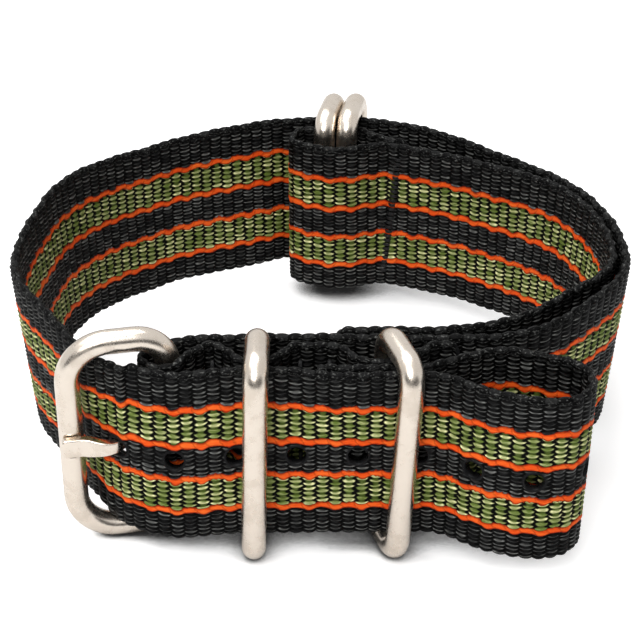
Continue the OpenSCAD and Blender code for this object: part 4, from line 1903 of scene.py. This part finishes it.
@dataclass
class Hardware:
    """The buckle, the two keeper rings in front and the two loop rings at the back.

    Attributes:
        plan: Places and sizes of the strap.
        finishes: Its materials.
        left_lean: Lean of the left keeper, in radians.
        right_lean: Lean of the right keeper.
        right_shift: How far the right keeper lies from its place in the construction.
    """

    plan: Plan
    finishes: Finishes
    left_lean: float = math.radians(1.5)
    right_lean: float = math.radians(3.0)
    right_shift: float = -0.25

    def build(self) -> None:
        """Builds every steel piece."""
        plan, z, steel = self.plan, self.plan.sizes, self.finishes.steel
        buckle = Buckle(plan)
        buckle.build_frame(steel)
        buckle.build_tongue(steel)
        loop_shift = plan.ring_span * math.sin(z.loop_ring_turn)
        right_x = plan.right_bar_x + self.right_shift
        rings = (
            ("keeper_ring_left", "left_keeper", plan.left_bar_x, plan.bar_y, 0.0,
             self.left_lean),
            ("keeper_ring_right", "right_keeper", right_x, plan.bar_y, z.keeper_turn,
             self.right_lean),
            ("loop_ring_left", "left_loop_ring", z.loop_ring_x + loop_shift,
             plan.loop_bar_y, -z.loop_ring_turn, 0.0),
            ("loop_ring_right", "right_loop_ring", plan.loop_right_x + loop_shift,
             plan.loop_bar_y, -z.loop_ring_turn, 0.0),
        )
        for name, body, x, y, turn, lean in rings:
            StrapRing(name, body, plan, (x, y), turn, lean).build(steel)


@dataclass
class Sewing:
    """Every row of stitches.

    Attributes:
        plan: Places and sizes of the strap.
        finishes: Its materials.
    """

    plan: Plan
    finishes: Finishes

    def build(self) -> None:
        """Builds the six seams."""
        plan, z, thread = self.plan, self.plan.sizes, self.finishes.thread
        out = np.array([0.0, -1.0])
        two, three = z.band_t * 2 + z.layer_gap, z.band_t * 3 + 2 * z.layer_gap
        between = (plan.inner_y + plan.dip_y) / 2
        flap = (plan.flap_y + plan.inner_y) / 2
        margin = z.seam_margin / 2
        rows = {
            "buckle_seam": (plan.dip_1 + z.seam_flat / 2, between, two),
            "keeper_seam_left": (plan.dip_2 + margin, between, two),
            "keeper_seam_right": (plan.dip_2 + z.keeper_bridge - margin, between, two),
            "band_end_seam": (plan.dip_3 + z.seam_margin, plan.inner_y, three),
            "short_band_seam": (plan.sewn_start_x + margin, flap, two),
        }
        for name, (x, y, depth) in rows.items():
            Seam(name, plan, np.array([x, y]), out, depth, z.stitch_pitch).build(thread)
        place = (plan.loop_seam + plan.loop_side * plan.layer / 2
                 - plan.loop_dir * z.seam_margin)
        Seam("ring_loop_seam", plan, place, plan.loop_side, two, pitch=0.72, reach=0.9,
             rise=0.2, lie=math.pi / 2, lean=2.0).build(thread)


# Studio


@dataclass(frozen=True)
class Lamp:
    """A square lamp that faces the object.

    Attributes:
        name: Its name.
        at: Its place, in metres.
        size: Side of the square, in metres.
        power: Its power, in watts.
    """

    name: str
    at: Corner
    size: float
    power: float

    def build(self) -> None:
        """Adds the lamp to the scene."""
        data = bpy.data.lights.new(self.name, "AREA")
        data.size, data.energy = self.size, self.power
        lamp = linked(self.name, data)
        lamp.location = self.at
        lamp.rotation_euler = (-Vector(self.at)).to_track_quat("-Z", "Y").to_euler()


@dataclass
class Studio:
    """Pale floor, plain soft light and the photograph's camera.

    Attributes:
        camera_at: Place of the camera, in millimetres.
        pitch: How far the camera looks down, in radians.
        lens: Focal length, in millimetres.
        floor_half: Half the floor's side, in metres.
        floor_level: Brightness of the floor's own colour.
        shadow_reach: How far away a piece still darkens the floor with painted shadow, in metres.
        fill: Brightness of the surroundings for everything that isn't glossy.
        belt: Brightness of the dark belt in front, which the steel mirrors.
        belt_up: Height over which the belt fades.
        belt_ahead: Direction over which it fades towards the back.
        open_air: Openness over which the painted contact shadow fades.
        contact: Brightness of the painted contact shadow.
        glow_reach: Distance over which the floor's glow becomes full, in metres.
        glow: Glow of the floor under the object.
        lamps: The lamps.
    """

    camera_at: Corner = (-0.1, -206.1, 141.4)
    pitch: float = math.radians(32)
    lens: float = 104.7
    floor_half: float = 1.5
    floor_level: float = 0.82
    shadow_reach: float = 0.012
    fill: float = 0.42
    belt: float = 0.08
    belt_up: Point = (0.3, 0.6)
    belt_ahead: Point = (-0.7, -0.2)
    open_air: Point = (0.23, 0.48)
    contact: float = 0.03
    glow_reach: Point = (0.07, 0.35)
    glow: float = 0.46
    lamps: tuple[Lamp, ...] = (Lamp("key_light", (-0.2, 0.12, 0.8), 0.8, 5.8),
                               Lamp("front_light", (-0.18, -0.55, 0.6), 0.45, 4.4))

    def _camera(self) -> None:
        """Adds the camera."""
        data = bpy.data.cameras.new("camera")
        data.lens, data.sensor_width, data.clip_start = self.lens, 36.0, 0.005
        camera = linked("camera", data)
        camera.location = Vector(self.camera_at) * MM
        camera.rotation_euler = (math.pi / 2 - self.pitch, 0, 0)
        bpy.context.scene.camera = camera

    def _floor(self) -> None:
        """Adds the floor, which a camera sees as white where no shadow falls, with a painted
        contact shadow under the strap.
        """
        bm = bmesh.new()
        bmesh.ops.create_grid(bm, x_segments=1, y_segments=1, size=self.floor_half)
        floor = linked("floor", as_mesh("floor", bm))
        made, g, shader = shaded_material("pale_floor")
        # Painted contact shadow: ambient occlusion darkens the floor's colour and glow close
        # under the strap.
        near = g.take("ShaderNodeAmbientOcclusion", {"Distance": self.shadow_reach}, "AO",
                      samples=16)
        open_air = g.ramp(near, *self.open_air, self.contact, 1.0)
        away = g.take("ShaderNodeVectorMath", {0: g.take("ShaderNodeTexCoord", output="Object")},
                      "Value", operation="LENGTH")
        seen = g.take("ShaderNodeLightPath", output="Is Camera Ray")
        glow = seen * g.ramp(away, *self.glow_reach, self.glow, 1.0) * open_air
        g.plug(g.scaled((self.floor_level,) * 3, open_air), shader.inputs["Base Color"])
        for name, value in {"Roughness": 0.9, "Specular IOR Level": 0.0,
                            "Emission Color": (1, 1, 1, 1), "Emission Strength": glow}.items():
            g.plug(value, shader.inputs[name])
        floor.data.materials.append(made)

    def _world(self) -> None:
        """Makes the surroundings white to look at and plain to light by."""
        world = bpy.data.worlds.new("studio")
        world.use_nodes = True
        g = Graph(world.node_tree)
        path = g.node("ShaderNodeLightPath").outputs
        ahead, up = g.parts(g.take("ShaderNodeTexCoord", output="Generated"))[1:]
        belt = (g.ramp(up, *self.belt_up, 1.0, 0.0)
                * g.ramp(ahead, *self.belt_ahead, 1.0, 0.0))
        belt = g.ramp(belt, 0.0, 1.0, 1.0, self.belt)
        shine = g.mixed(Signal(g, path["Is Glossy Ray"]), self.fill, belt)
        seen = g.maths("MAXIMUM", Signal(g, path["Is Camera Ray"]),
                       Signal(g, path["Is Transmission Ray"]))
        back = g.take("ShaderNodeBackground", {"Strength": g.mixed(seen, shine, 1.0)})
        g.node("ShaderNodeOutputWorld", {0: back})
        bpy.context.scene.world = world

    def build(self) -> None:
        """Sets up camera, floor, light and view."""
        self._camera()
        self._floor()
        self._world()
        for lamp in self.lamps:
            lamp.build()
        bpy.context.scene.view_settings.view_transform = "Standard"


def main() -> None:
    """Builds the studio and the strap."""
    logging.basicConfig(level=logging.INFO, format="%(message)s")
    plan = Plan()
    finishes = Finishes(Weave())
    Studio().build()
    Bands(plan, finishes).build()
    Hardware(plan, finishes).build()
    Sewing(plan, finishes).build()


if __name__ == "__main__":
    main()
